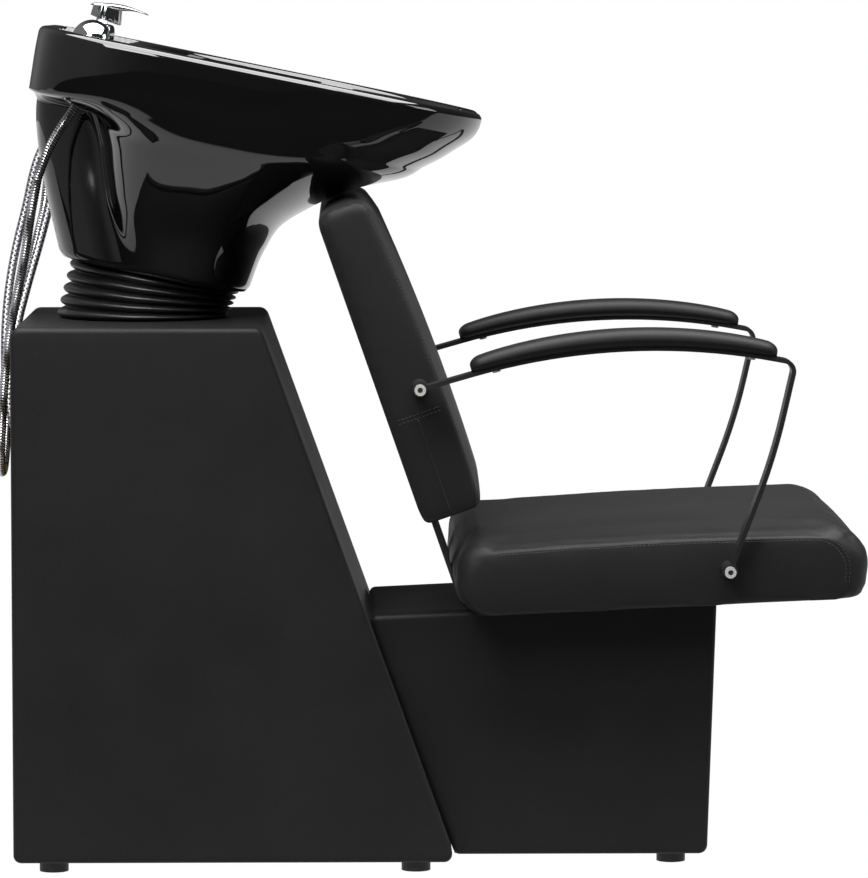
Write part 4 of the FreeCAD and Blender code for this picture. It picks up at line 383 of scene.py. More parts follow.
# Outline of straight runs with an arc in each corner
def roundedLoop(corners, radii, arcCount, runCount, closed=True):
    corners = [np.asarray(corner, dtype=float) for corner in corners]
    count = len(corners)
    ends = []
    for step, here in enumerate(corners):
        if not closed and step in (0, count - 1):
            ends.append((here, here))
            continue
        back = corners[step - 1] - here
        ahead = corners[(step + 1) % count] - here
        back /= np.linalg.norm(back)
        ahead /= np.linalg.norm(ahead)
        halfTurn = (math.pi - math.acos(np.clip(back @ ahead, -1, 1))) / 2
        reach = radii[step] * math.tan(halfTurn)
        ends.append((here + back * reach, here + ahead * reach))
    pieces = []
    for step, here in enumerate(corners):
        arrive, leave = ends[step]
        if np.linalg.norm(leave - arrive) > 1e-9:
            bisector = (arrive + leave) / 2 - here
            bisector /= np.linalg.norm(bisector)
            spreadHalf = np.linalg.norm(leave - arrive) / 2
            reach = np.linalg.norm(arrive - here)
            halfTurn = math.pi / 2 - math.asin(min(1, spreadHalf / reach))
            depth = radii[step] * (1 / math.cos(halfTurn) - 1)
            pieces.append(arcThrough(arrive, here + bisector * depth, leave, arcCount))
        if step < count - 1 or closed:
            pieces.append(straight(leave, ends[(step + 1) % count][0], runCount)[1:-1])
    if not closed:
        pieces.insert(0, corners[0][None, :])
        pieces.append(corners[-1][None, :])
    return np.concatenate(pieces)


# Ease from 0 to 1 between low and high: 3 t squared minus 2 t cubed
def smoothStep(value, low, high):
    share = np.clip((value - low) / (high - low), 0, 1)
    return share * share * (3 - 2 * share)


# The greater of two values, rounded over where they cross
def smoothMax(a, b, width):
    share = np.clip(0.5 + 0.5 * (a - b) / width, 0, 1)
    return b + (a - b) * share + width * share * (1 - share)


# Cubic through the stations with slopes from their neighbours
def through(value, stations, heights):
    stations = np.asarray(stations, dtype=float)
    heights = np.asarray(heights, dtype=float)
    slopes = np.gradient(heights, stations)
    index = np.clip(np.searchsorted(stations, value) - 1, 0, len(stations) - 2)
    span = stations[index + 1] - stations[index]
    share = np.clip((value - stations[index]) / span, 0, 1)
    square = share * share
    cube = square * share
    return ((2 * cube - 3 * square + 1) * heights[index] + (cube - 2 * square + share) * span * slopes[index]
            + (3 * square - 2 * cube) * heights[index + 1] + (cube - square) * span * slopes[index + 1])


# Camera: a long lens from the near side, level with the rim
view = {"place": (-0.104, -6.0, 0.982), "lens": 212.15, "aim": (0.01698, 1.0, -0.0841), "sensor": 36.0,
        "far": 60.0}
cameraData = bpy.data.cameras.new("viewCamera")
cameraData.lens = view["lens"]
cameraData.sensor_width = view["sensor"]
cameraData.clip_end = view["far"]
camera = bpy.data.objects.new("viewCamera", cameraData)
camera.location = view["place"]
camera.rotation_euler = Vector(view["aim"]).to_track_quat("-Z", "Y").to_euler()
scene.collection.objects.link(camera)
scene.camera = camera

# Frames of the bowl, the seat and the backrest
bowlFrame = {"x": -0.452, "z": 0.959, "tilt": math.radians(-11.5)}
seatFrame = {"x": 0.019, "z": 0.297905, "tilt": math.radians(2.7)}
backFrame = {"x": -0.017, "z": 0.398, "tilt": math.radians(19.3)}


# Place in a tilted frame: along and up turned about the frame's cross axis
def placed(spot, along, across, up):
    cosine, sine = math.cos(spot["tilt"]), math.sin(spot["tilt"])
    return stacked(spot["x"] + along * cosine - up * sine, across, spot["z"] + along * sine + up * cosine)


def onBowl(along, across, up):
    return placed(bowlFrame, along, across, up)


def onSeat(along, across, up):
    return placed(seatFrame, along, across, up)


def onBack(along, across, up):
    return placed(backFrame, along, across, up)


# Smooth curve of order three, led by a route's control points
def splinePoints(name, route):
    curve = bpy.data.curves.new(name, "CURVE")
    curve.dimensions = "3D"
    spline = curve.splines.new("NURBS")
    spline.points.add(len(route) - 1)
    for point, place in zip(spline.points, route):
        point.co = (*place, 1.0)
    spline.order_u = 3
    spline.use_endpoint_u = True
    spline.resolution_u = 24
    holder = bpy.data.objects.new(name, curve)
    scene.collection.objects.link(holder)
    bpy.context.view_layer.update()
    mesh = holder.evaluated_get(bpy.context.evaluated_depsgraph_get()).to_mesh()
    points = rowsOf(mesh.vertices, "co")
    bpy.data.objects.remove(holder)
    bpy.data.curves.remove(curve)
    return points


# The same line in equal steps, and the length at each
def evenly(points, step):
    lengths = np.concatenate([[0], np.cumsum(np.linalg.norm(np.diff(points, axis=0), axis=1))])
    count = max(2, int(round(lengths[-1] / step)) + 1)
    stops = np.linspace(0, lengths[-1], count)
    return stacked(*[np.interp(stops, lengths, points[:, axis]) for axis in range(3)]), stops


# Rings of a tube, each square to the line and turned as little as can be from the last
def tube(points, radii, sides):
    heading = np.gradient(points, axis=0)
    heading /= np.linalg.norm(heading, axis=1)[:, None]
    side = np.cross(heading[0], [0.0, 1.0, 0.0])
    if np.linalg.norm(side) < 1e-3:
        side = np.cross(heading[0], [1.0, 0.0, 0.0])
    rows = []
    angle = ringTurns(sides)
    for point, forward, radius in zip(points, heading, radii):
        side = side - forward * (side @ forward)
        side /= np.linalg.norm(side)
        other = np.cross(forward, side)
        rows.append(point + radius * (np.cos(angle)[:, None] * side + np.sin(angle)[:, None] * other))
    return np.array(rows)


# Hoses: ribbed tubes along routes from under the deck to behind the pedestal
deck = {"tapAlong": 0.060, "tapAcross": 0.094, "port": 0.010, "showerAlong": 0.062, "hoseTop": -0.0542,
        "shankLow": -0.0485}
hoses = {"rib": 0.0034, "sides": 14, "bendTop": (-0.456, 0.0, 0.784), "bendLow": (-0.490, 0.0, 0.625)}
hoseKinds = {
    "shower": {"diameter": 0.011, "ribDepth": 0.1, "finish": "spiralChrome", "slot": "chrome",
               "farEnd": "object", "stiffness": "limp"},
    "supply": {"diameter": 0.010, "ribDepth": 0.02, "finish": "braidSteel", "slot": "hose_braid",
               "farEnd": "fitting", "stiffness": "medium"},
}
tapX, tapY, port = deck["tapAlong"], deck["tapAcross"], deck["port"]
riserRoute = [
    onBowl(deck["showerAlong"], -tapY, deck["hoseTop"]),
    onBowl(deck["showerAlong"], -tapY - 0.0005, deck["hoseTop"] - 0.022),
    onBowl(0.046, -tapY - 0.006, -0.110), onBowl(0.036, -tapY - 0.009, -0.142),
    onBowl(0.032, -tapY - 0.009, -0.172),
]
loopRoute = [
    riserRoute[-1], (-0.463, -0.100, 0.745), (-0.469, -0.090, 0.705), (-0.479, -0.076, 0.657),
    (-0.490, -0.062, 0.612), (-0.499, -0.050, 0.540), (-0.504, -0.047, 0.440), (-0.504, 0.047, 0.440),
    (-0.499, 0.062, 0.540), (-0.490, 0.080, 0.612), (-0.479, 0.093, 0.657), (-0.469, 0.104, 0.705),
    (-0.459, 0.113, 0.745), onBowl(0.031, tapY + 0.028, -0.172), onBowl(0.033, tapY + 0.026, -0.140),
    onBowl(0.044, tapY + 0.020, -0.108), onBowl(0.0595, tapY + 0.0105, -0.072),
    onBowl(tapX, tapY + port, deck["shankLow"]),
]
coldRoute = [
    onBowl(tapX - 0.8 * port, tapY - 0.6 * port, deck["shankLow"]),
    onBowl(tapX - 0.0085, tapY - 0.005, -0.078), onBowl(0.034, tapY + 0.005, -0.112),
    onBowl(0.019, tapY + 0.012, -0.144), (-0.472, 0.099, 0.785), (-0.480, 0.095, 0.745),
    (-0.491, 0.084, 0.702), (-0.499, 0.067, 0.655), (-0.503, 0.051, 0.608), (-0.503, 0.038, 0.555),
    (-0.499, 0.031, 0.502), (-0.470, 0.027, 0.456), (-0.420, 0.025, 0.440),
]
hotRoute = [
    onBowl(tapX + 0.8 * port, tapY - 0.6 * port, deck["shankLow"]),
    onBowl(tapX + 0.0077, tapY - 0.005, -0.074), onBowl(0.056, tapY + 0.006, -0.106),
    onBowl(0.042, tapY + 0.012, -0.142), (-0.446, 0.102, 0.785), (-0.453, 0.100, 0.745),
    (-0.464, 0.084, 0.702), (-0.477, 0.064, 0.655), (-0.489, 0.044, 0.608), (-0.496, 0.020, 0.555),
    (-0.497, 0.001, 0.502), (-0.470, -0.006, 0.456), (-0.420, -0.008, 0.440),
]


# Ribbed tube: the radius dips by a cosine of the length, and the length and turn are its own coordinates
def layHose(name, node, kind, route):
    values = hoseKinds[kind]
    diameter, sides = values["diameter"], hoses["sides"]
    centre, stops = evenly(splinePoints(name + "Line", route), hoses["rib"] / 4)
    swell = 0.5 + 0.5 * np.cos(fullTurn * stops / hoses["rib"])
    rows = tube(centre, diameter / 2 * (1 - values["ribDepth"] * swell), sides)
    turns = np.linspace(0, 1, sides, endpoint=False)
    uv = np.stack([np.repeat(stops, sides), np.tile(turns, len(stops))], axis=1)
    piece = rowsPiece(name, rows, values["slot"], finish=values["finish"], uv=uv)
    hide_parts(node)
    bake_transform(piece)


layHose("showerHoseRiser", "shower_hose_riser", "shower", riserRoute)
layHose("showerHoseLoop", "shower_hose_loop", "shower", loopRoute)

unionNut = {"radius": 0.012, "length": 0.018, "hollow": 0.008, "floor": 0.006, "bevel": 0.0012, "around": 48}


# Union nut: six flats with a bevel at both ends and a hollow, carried along the hose's last run
def unionNutPiece(name, route):
    end = np.asarray(route[-1], dtype=float)
    heading = end - np.asarray(route[-2], dtype=float)
    heading /= np.linalg.norm(heading)
    side = np.cross(heading, [0.0, 1.0, 0.0])
    side /= np.linalg.norm(side)
    other = np.cross(heading, side)
    angle = ringTurns(unionNut["around"])
    flats = math.cos(math.pi / 6) / np.cos((angle % (math.pi / 3)) - math.pi / 6)
    spokes = np.cos(angle)[:, None] * side + np.sin(angle)[:, None] * other
    far, bevel, hollow = unionNut["length"], unionNut["bevel"], unionNut["hollow"]
    full = unionNut["radius"] * flats
    stops = [(0.0, full - bevel), (bevel, full), (far - bevel, full), (far, full - bevel),
             (far, hollow + bevel), (far - bevel, hollow), (unionNut["floor"], hollow)]
    rows = []
    for along, radius in stops:
        reach = np.broadcast_to(radius, angle.shape)[:, None]
        rows.append(end + heading * along + reach * spokes)
    piece = rowsPiece(name, np.array(rows), "brass_fittings", smooth=False)
    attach(piece, "pedestal")
    return piece


coldNut = unionNutPiece("unionNutCold", coldRoute)
hotNut = unionNutPiece("unionNutHot", hotRoute)
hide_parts("supply_nuts")
for hoseName, hoseNode, hoseRoute, hoseNut in (("supplyHoseCold", "supply_hose_cold", coldRoute, coldNut),
                                               ("supplyHoseHot", "supply_hose_hot", hotRoute, hotNut)):
    layHose(hoseName, hoseNode, "supply", hoseRoute)
print("stage hoses")

# Bowl: outlines at each depth, found along rays from one middle line, as a skin round wall, rim and basin
bowl = {
    "middle": 0.205, "length": 0.521, "half": 0.237, "depth": 0.256, "floor": 0.214, "columns": 320,
    "notchRadius": 0.082, "notchLift": 0.034, "notchReach": 0.110, "notchBlend": 0.012, "rimRound": 0.008,
    "deckDepth": 0.018, "deckRear": 0.014, "deckFront": 0.106, "deckHalf": 0.165, "deckEase": 0.004,
    "drainAlong": 0.182, "drainRadius": 0.0206, "drainFall": 0.002, "spineBlend": 0.016,
    "stepRear": (-0.75, -0.35), "stepTop": 0.073, "stepLow": 0.087, "stepRise": 0.018, "stepFall": 0.020,
    "wallRuns": ((0.008, 0.069, 20), (0.0715, 0.091, 14), (0.095, 0.250, 43)),
    "basinRuns": ((0.213, 0.008, 52),), "rimRuns": ((0, 0.2, 12), (0.215, 0.97, 46), (0.975, 1.0, 6)),
    "underShares": (0.03, 0.2, 0.45, 0.7, 1.0), "floorShares": (1.0, 0.8, 0.55, 0.3, 0.12),
}
# Rows in mm: depth, and how far the outline lies in from the rear, the front and each side
eggs = {
    "band": {"squares": (5.0, 2.7), "rows": [(0, 0, 2, 0), (8.8, 0, 2, 0), (26, 0, 8, 0), (51, 1, 32, 2),
                                             (77, 2, 60, 8)]},
    "funnel": {"squares": (3.4, 2.3), "rows": [(60, 60, 53, 6), (90, 80, 84, 17), (120, 94, 142, 38),
                                               (146, 101, 178, 59), (172, 108, 206, 81), (204, 118, 220, 106),
                                               (256, 130, 230, 130)]},
    "spine": {"squares": (3.0, 2.3), "rows": [(60, 8, 290, 168), (90, 9, 290, 165), (140, 21, 290, 158),
                                              (184, 38, 290, 150), (256, 70, 290, 138)]},
    "basin": {"squares": (3.0, 2.3), "rows": [(-4, 114, 22, 22), (20, 115, 38, 26), (60, 119, 84, 42),
                                              (100, 128, 140, 66), (140, 140, 200, 100), (178, 146, 240, 148),
                                              (214, 142, 262, 190)]},
}


# Distance from the middle line to a squared egg: |along / length| ^ n + |across / width| ^ n = 1, by halving
def eggReach(kind, depth, angle):
    rearSquare, frontSquare = eggs[kind]["squares"]
    rows = np.array(eggs[kind]["rows"]) * millimetre
    depth = np.clip(depth, rows[0, 0], rows[-1, 0])
    rear = through(depth, rows[:, 0], rows[:, 1])
    front = bowl["length"] - through(depth, rows[:, 0], rows[:, 2])
    half = bowl["half"] - through(depth, rows[:, 0], rows[:, 3])
    centre = (rear + front) / 2
    reach = (front - rear) / 2
    low = np.zeros_like(depth)
    high = np.full_like(depth, 0.6)
    for _ in range(44):
        trial = (low + high) / 2
        along = bowl["middle"] + trial * np.cos(angle) - centre
        across = trial * np.sin(angle)
        square = np.where(along > 0, frontSquare, rearSquare)
        inside = np.abs(along / reach) ** square + np.abs(across / half) ** square < 1
        low = np.where(inside, trial, low)
        high = np.where(inside, high, trial)
    return low


# Outer wall: the rim's band above, funnel and spine below, blended over a step that is longer at the front
def outerReach(depth, angle):
    band = eggReach("band", depth, angle)
    lower = smoothMax(eggReach("funnel", depth, angle), eggReach("spine", depth, angle), bowl["spineBlend"])
    level = smoothStep(np.cos(angle), *bowl["stepRear"])
    stepTop = bowl["stepTop"] - bowl["stepRise"] * level
    stepLow = bowl["stepLow"] + bowl["stepFall"] * level
    share = smoothStep(depth, stepTop, stepLow)
    return band * (1 - share) + np.minimum(lower, band) * share


def basinReach(depth, angle):
    return eggReach("basin", depth, angle)


def bowlSkin():
    columns, rimRound, ease = bowl["columns"], bowl["rimRound"], bowl["deckEase"]
    angle = ringTurns(columns)[None, :]
    across = outerReach(np.full_like(angle, rimRound), angle) * np.sin(angle)
    sag = np.sqrt(np.clip(bowl["notchRadius"] ** 2 - across ** 2, 0, None)) - bowl["notchLift"]
    notch = smoothMax(np.where(np.cos(angle) > 0, sag, -0.05), np.zeros_like(sag), bowl["notchBlend"])
    least = bowl["notchBlend"] / 4
    notch = np.where(notch < least + 0.0001, 0, notch - least)

    def lowered(depth):
        return depth + notch * (1 - np.clip(depth / bowl["notchReach"], 0, 1))

    def wall(reachOf, stretches):
        depths = runs(stretches)[:, None]
        depth = lowered(np.broadcast_to(depths, (len(depths), columns)))
        rings = np.broadcast_to(angle, depth.shape)
        reach = reachOf(depth, rings)
        return stacked(bowl["middle"] + reach * np.cos(rings), reach * np.sin(rings), -depth)

    def plate(reachOf, depth, fall, shares):
        level = np.full_like(angle, depth)
        reach = reachOf(level, angle)
        share = np.array(shares)[:, None]
        holeX = bowl["drainAlong"] + bowl["drainRadius"] * np.cos(angle)
        holeY = bowl["drainRadius"] * np.sin(angle)
        along = (bowl["middle"] + reach * np.cos(angle)) * (1 - share) + holeX * share
        side = reach * np.sin(angle) * (1 - share) + holeY * share
        return stacked(along, side, -level - fall * share)

    edge = lowered(np.full_like(angle, rimRound))
    inside = basinReach(edge, angle)
    width = outerReach(edge, angle) - inside
    share = runs(bowl["rimRuns"])[1:-1, None]
    reach = inside + width * share
    gap = np.minimum(width * share, width * (1 - share))
    roundness = np.clip(1 - gap / rimRound, 0, 1)
    level = edge - rimRound + rimRound * (1 - np.sqrt(1 - roundness ** 2))
    along = bowl["middle"] + reach * np.cos(angle)
    side = reach * np.sin(angle)
    sunk = (smoothStep(along, bowl["deckRear"], bowl["deckRear"] + ease)
            * (1 - smoothStep(along, bowl["deckFront"] - ease, bowl["deckFront"]))
            * (1 - smoothStep(np.abs(side), bowl["deckHalf"] - ease, bowl["deckHalf"])))
    rim = stacked(along, side, -(level + bowl["deckDepth"] * sunk))
    return np.concatenate([wall(outerReach, bowl["wallRuns"]),
                           plate(outerReach, bowl["depth"], 0.0, bowl["underShares"]),
                           plate(basinReach, bowl["floor"], bowl["drainFall"], bowl["floorShares"]),
                           wall(basinReach, bowl["basinRuns"]), rim])


skin = bowlSkin()
bowlPiece = meshPiece("bowlShell", onBowl(skin[..., 0], skin[..., 1], skin[..., 2]),
                      gridFaces(skin, closeRows=True), "bowl_gloss")
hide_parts("bowl")
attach(bowlPiece, "basin")
print("stage bowl", len(bowlPiece.data.polygons))

pleated = {"footX": -0.3415, "footZ": 0.620, "outer": 0.099, "valley": 0.089, "bore": 0.083, "pleats": 5,
           "rowsPerPleat": 14, "sides": 112, "sharpness": 0.65, "headGap": 0.0006}
bellowsFoot = np.array([pleated["footX"], 0, pleated["footZ"]])
bellowsHead = onBowl(bowl["drainAlong"], 0.0, -bowl["depth"] - pleated["headGap"])


# Bellows: |sine| pleats on rings that lean more and more from the level pedestal top to the tilted bowl
def bellowsRows():
    angle = ringTurns(pleated["sides"])
    shares = np.linspace(0, 1, pleated["pleats"] * pleated["rowsPerPleat"] + 1)
    fold = np.abs(np.sin(math.pi * shares * pleated["pleats"])) ** pleated["sharpness"]
    radii = pleated["valley"] + (pleated["outer"] - pleated["valley"]) * fold
    inner = shares[::-10]
    shares = np.concatenate([shares, inner])[:, None]
    radii = np.concatenate([radii, np.full(len(inner), pleated["bore"])])
    lean = bowlFrame["tilt"] * shares
    centre = bellowsFoot * (1 - shares) + bellowsHead * shares
    spokes = stacked(np.cos(angle) * np.cos(lean), np.sin(angle), np.cos(angle) * np.sin(lean))
    return centre[:, None] + radii[:, None, None] * spokes


folds = bellowsRows()
bellowsPiece = meshPiece("bellowsPleats", folds, gridFaces(folds, closeRows=True), "bellows_rubber")
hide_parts("bellows")
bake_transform(bellowsPiece)
print("stage bellows")


# Turned piece: a profile of radius and height carried round an upright axis in the bowl's frame
def turnedRows(profile, along, across, sides):
    radius, height = np.array(profile, dtype=float).T[..., None]
    angle = ringTurns(sides)
    return stacked(along + radius * np.cos(angle), across + radius * np.sin(angle), height)


def chromePiece(name, shells, node, body, ring=None):
    points, faces = joined(shells, ring)
    piece = meshPiece(name, onBowl(points[:, 0], points[:, 1], points[:, 2]), faces, "chrome")
    piece.data.set_sharp_from_angle(angle=math.radians(40))
    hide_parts(node)
    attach(piece, body)


# Quadratic curve from the first to the last point, drawn towards the corner
def roundCorner(first, corner, last, count):
    first, corner, last = (np.asarray(point, dtype=float) for point in (first, corner, last))
    share = np.linspace(0, 1, count)[:, None]
    return ((1 - share) ** 2 * first + 2 * share * (1 - share) * corner + share ** 2 * last).tolist()


tap = {"capLow": -0.0009, "capTop": 0.0131, "capRadius": 0.018, "footRadius": 0.0172, "footFlat": 0.0168,
       "footUp": 0.001, "waist": (0.0172, 0.005), "shoulder": (0.0166, 0.0085), "neck": 0.0155,
       "flat": 0.0115, "core": 0.002, "sides": 64, "pin": 0.0221, "eye": 0.0065, "eyeStops": 19,
       "tongue": 0.007, "tongueRoot": 0.001, "cheekIn": 0.0072, "cheekOut": 0.0122, "root": 0.032,
       "bevel": 0.0004, "bevelShrink": 0.94}


def capRows():
    low, top, radius = tap["capLow"], tap["capTop"], tap["capRadius"]
    profile = [(tap["core"], low), (tap["footFlat"], low)]
    profile += roundCorner((tap["footRadius"], low), (radius, low), (radius, tap["footUp"]), 7)
    profile += [tap["waist"]] + roundCorner(tap["shoulder"], (tap["neck"], top), (tap["flat"], top), 9)
    return turnedRows(profile + [(tap["core"], top)], tapX, tapY, tap["sides"])


# Outline of a tab: half a circle about the pin and two straight sides that end at a level
def eyeOutline(way, level):
    turn = np.linspace(0, way * math.pi, tap["eyeStops"])
    rounded = np.stack([tap["eye"] * np.cos(turn), tap["pin"] + tap["eye"] * np.sin(turn)], axis=1)
    return np.concatenate([[(tap["eye"], level)], rounded, [(-tap["eye"], level)]])


# Cheek of the lever: the outline from one side to the other, a little smaller on both faces
def cheekRows(low, high):
    outline = eyeOutline(-1, tap["root"])
    bevel, small = tap["bevel"], tap["bevelShrink"]
    rows = []
    for offset, shrink in ((low, small), (low + bevel, 1.0), (high - bevel, 1.0), (high, small)):
        level = tap["pin"] + (outline[:, 1] - tap["pin"]) * shrink
        level = np.where(outline[:, 1] == tap["root"], tap["root"], level)
        rows.append(stacked(tapX + outline[:, 0] * shrink, tapY + offset, level))
    return np.array(rows)


def tongueRows():
    outline = eyeOutline(1, tap["capTop"] - tap["tongueRoot"])
    return np.array([stacked(tapX + outline[:, 0], tapY + offset, outline[:, 1])
                     for offset in (-tap["tongue"], tap["tongue"])])


chromePiece("tapCap", [capRows(), tongueRows()], "mixer_swivel", "mixer_swivel")

lever = {"stations": (0.0436, 0.046, 0.052, 0.060, 0.070, 0.080, 0.090, 0.100, 0.108, 0.112),
         "top": (0.0322, 0.0340, 0.0356, 0.0368, 0.0382, 0.0386, 0.0378, 0.0362, 0.0346, 0.0334),
         "low": (0.0314, 0.0312, 0.0311, 0.0311, 0.0310, 0.0312, 0.0330, 0.0336, 0.0328, 0.0322),
         "half": (0.0090, 0.0112, 0.0124, 0.0129, 0.0129, 0.0124, 0.0116, 0.0106, 0.0092, 0.0060),
         "sideSquare": 0.55, "riseSquare": 0.75, "rows": 60, "around": 40,
         "skirtLow": 0.0145, "skirtSlant": 0.0055, "skirtTop": 0.0330, "skirtStretch": 1.6, "skirtAround": 96,
         "skirtRings": ((0.0132, 1.0), (0.0138, 0.7), (0.0143, 0.35), (0.0146, 0.04), (0.0141, 0.0)),
         "skirtHollow": ((0.0112, 0.0), (0.0105, 1.0)), "flutes": 16, "fluteDepth": 0.05}


# Handle section: a squared oval between the low and the top line
def leverRows():
    along = np.linspace(lever["stations"][0], lever["stations"][-1], lever["rows"])[:, None]
    top, low, half = (through(along, lever["stations"], lever[key]) for key in ("top", "low", "half"))
    turn = ringTurns(lever["around"])
    side = np.sign(np.cos(turn)) * np.abs(np.cos(turn)) ** lever["sideSquare"]
    rise = np.sign(np.sin(turn)) * np.abs(np.sin(turn)) ** lever["riseSquare"]
    height = (top + low) / 2 + (top - low) / 2 * rise
    return stacked(along, tapY + half * side, height)


# Fluted skirt under the handle: a ring, stretched forward, with a slanted lower edge that clears the cap
def skirtRows():
    angle = ringTurns(lever["skirtAround"])
    flute = 1 - lever["fluteDepth"] * (0.5 + 0.5 * np.cos(lever["flutes"] * angle))
    low = lever["skirtLow"] + lever["skirtSlant"] * (0.5 - 0.5 * np.cos(angle))
    stretch = np.where(np.cos(angle) > 0, lever["skirtStretch"], 1.0)
    rings = [(radius * flute, share) for radius, share in lever["skirtRings"]] + list(lever["skirtHollow"])
    return np.array([stacked(tapX + stretch * radius * np.cos(angle), tapY + radius * np.sin(angle),
                             low + (lever["skirtTop"] - low) * share) for radius, share in rings])


leverShells = [leverRows(), cheekRows(tap["cheekIn"], tap["cheekOut"]),
               cheekRows(-tap["cheekOut"], -tap["cheekIn"])]
chromePiece("tapLever", leverShells, "mixer_lever", "mixer_lever", ring=skirtRows())

shower = {"centre": -0.006, "radius": 0.0235, "low": -0.0137, "stem": 0.011, "stemLow": -0.0537,
          "stemMiddle": -0.034, "stemBevel": 0.001, "core": 0.002, "collar": 0.017, "edge": 0.0006,
          "face": 0.0162, "sides": 80, "stops": 30}


# Dome of a sphere cut flat below and in front, on a straight stem
def domeRows():
    stem, stemLow, bevel = shower["stem"], shower["stemLow"], shower["stemBevel"]
    low, radius = shower["low"], shower["radius"]
    start = math.asin((low - shower["centre"]) / radius)
    turn = np.linspace(start + 0.03, math.radians(88), shower["stops"])
    profile = [(shower["core"], stemLow), (stem - bevel, stemLow), (stem, stemLow + bevel),
               (stem, shower["stemMiddle"]), (stem, low), (shower["collar"], low),
               (radius * math.cos(start) - shower["edge"], low)]
    profile += list(zip(radius * np.cos(turn), shower["centre"] + radius * np.sin(turn)))
    rows = turnedRows(profile, deck["showerAlong"], -tapY, shower["sides"])
    rows[..., 0] = np.minimum(rows[..., 0], deck["showerAlong"] + shower["face"])
    return rows


chromePiece("showerDome", [domeRows()], "shower_head", "hand_shower")
print("stage tap")


def paddedPiece(piece, node):
    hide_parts(node)
    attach(piece, "pedestal")
    return piece


padding = {"thickness": 0.012, "edge": 0.0065, "rise": 0.9, "tuck": 0.0015, "wrap": 0.00776,
           "wrapEdge": 0.004, "topRound": 0.012, "underRound": 0.0085, "under": 0.0087, "fill": 0.9}


# Upholstered plate: rings drawn in from a rounded outline over a quarter-round edge to a flat middle
def paddedPlate(name, corners, cornerRadii, innerY, side, node):
    thickness, edge = padding["thickness"], padding["edge"]
    high = edge * padding["rise"]
    outline = roundedLoop(corners, cornerRadii, arcCount=8, runCount=40)
    middle = outline.mean(axis=0)
    tangent = np.roll(outline, -1, axis=0) - np.roll(outline, 1, axis=0)
    tangent /= np.linalg.norm(tangent, axis=1)[:, None]
    inwardWay = np.stack([tangent[:, 1], -tangent[:, 0]], axis=1)
    if ((middle - outline) * inwardWay).sum() < 0:
        inwardWay = -inwardWay
    rings = [(outline + inwardWay * padding["tuck"], 0.0)]
    for turn in np.linspace(0, math.pi / 2, 9):
        flat = outline + inwardWay * edge * (1 - math.cos(turn))
        rings.append((flat, thickness - high + high * math.sin(turn)))
    last = rings[-1][0]
    rings += [(last * (1 - share) + middle * share, thickness) for share in np.linspace(0.03, 0.98, 12)]
    rows = np.array([stacked(flat[:, 0], innerY + side * rise, flat[:, 1]) for flat, rise in rings])
    paddedPiece(rowsPiece(name, rows, "black_upholstery"), node)


# Upholstered band: a flat section with rounded sides swept along a bent line
def paddedBand(name, line, halfWidth):
    edge, thickness = padding["wrapEdge"], padding["wrap"]
    tangent = np.gradient(line, axis=0)
    tangent /= np.linalg.norm(tangent, axis=1)[:, None]
    outwardWay = np.stack([-tangent[:, 1], tangent[:, 0]], axis=1)
    turn = np.linspace(0, math.pi / 2, 6)
    flat = np.linspace(-0.9, 0.9, 13) * (halfWidth - edge)
    across = np.concatenate([-halfWidth + edge * (1 - np.cos(turn)), flat,
                             halfWidth - edge * (1 - np.cos(turn[::-1])), [halfWidth, -halfWidth]])
    rise = np.concatenate([-edge * (1 - np.sin(turn)), np.zeros(len(flat)), -edge * (1 - np.sin(turn[::-1])),
                           [-thickness, -thickness]])
    rows = stacked(line[:, :1] + outwardWay[:, :1] * rise, across, line[:, 1:] + outwardWay[:, 1:] * rise)
    return rowsPiece(name, rows, "black_upholstery")


def cutAway(piece, makers):
    cutters = []
    for maker, arguments in makers:
        maker(**arguments)
        cutters.append(bpy.context.object)
    for cutter in cutters:
        modifier = piece.modifiers.new("opening", "BOOLEAN")
        modifier.operation = "DIFFERENCE"
        modifier.solver = "EXACT"
        modifier.object = cutter
    result = appliedMesh(piece)
    piece.modifiers.clear()
    piece.data = result
    for cutter in cutters:
        bpy.data.objects.remove(cutter)


def paddedSides(name, node, corners, cornerRadii, half):
    for sideName, side in (("Left", 1), ("Right", -1)):
        paddedPlate(name + sideName, corners, cornerRadii, side * half, side, node + sideName.lower())


pedestal = {"rear": -0.4815, "top": 0.620, "topFront": -0.200, "toe": 0.019, "bottom": 0.013, "width": 0.410,
            "panelCorners": (0.009, 0.012, 0.012, 0.009), "toeUnder": 1.5, "bore": 0.080, "boreSides": 96,
            "boreDeep": 0.06, "serviceUp": 0.4925, "service": (0.08, 0.180, 0.185)}
pedestalCorners = [(pedestal["rear"], pedestal["bottom"]), (pedestal["rear"], pedestal["top"]),
                   (pedestal["topFront"], pedestal["top"]), (pedestal["toe"], pedestal["bottom"])]
bandCorners = ([(pedestal["rear"] + padding["under"], pedestal["bottom"])] + pedestalCorners
               + [(pedestal["toe"] - padding["under"] * pedestal["toeUnder"], pedestal["bottom"])])
bandLine = roundedLoop(bandCorners, [0, padding["underRound"], padding["topRound"], padding["topRound"],
                                     padding["underRound"], 0], arcCount=12, runCount=30, closed=False)
pedestalHalf = pedestal["width"] / 2 - padding["thickness"]
pedestalBand = paddedBand("pedestalBand", bandLine, pedestalHalf)
cutAway(pedestalBand, [
    (bpy.ops.mesh.primitive_cylinder_add, {"vertices": pedestal["boreSides"], "radius": pedestal["bore"],
                                           "depth": pedestal["boreDeep"],
                                           "location": (pleated["footX"], 0, pedestal["top"])}),
    (bpy.ops.mesh.primitive_cube_add, {"size": 1.0, "location": (pedestal["rear"], 0, pedestal["serviceUp"]),
                                       "scale": pedestal["service"]}),
])
paddedPiece(pedestalBand, "pedestal_wrap")
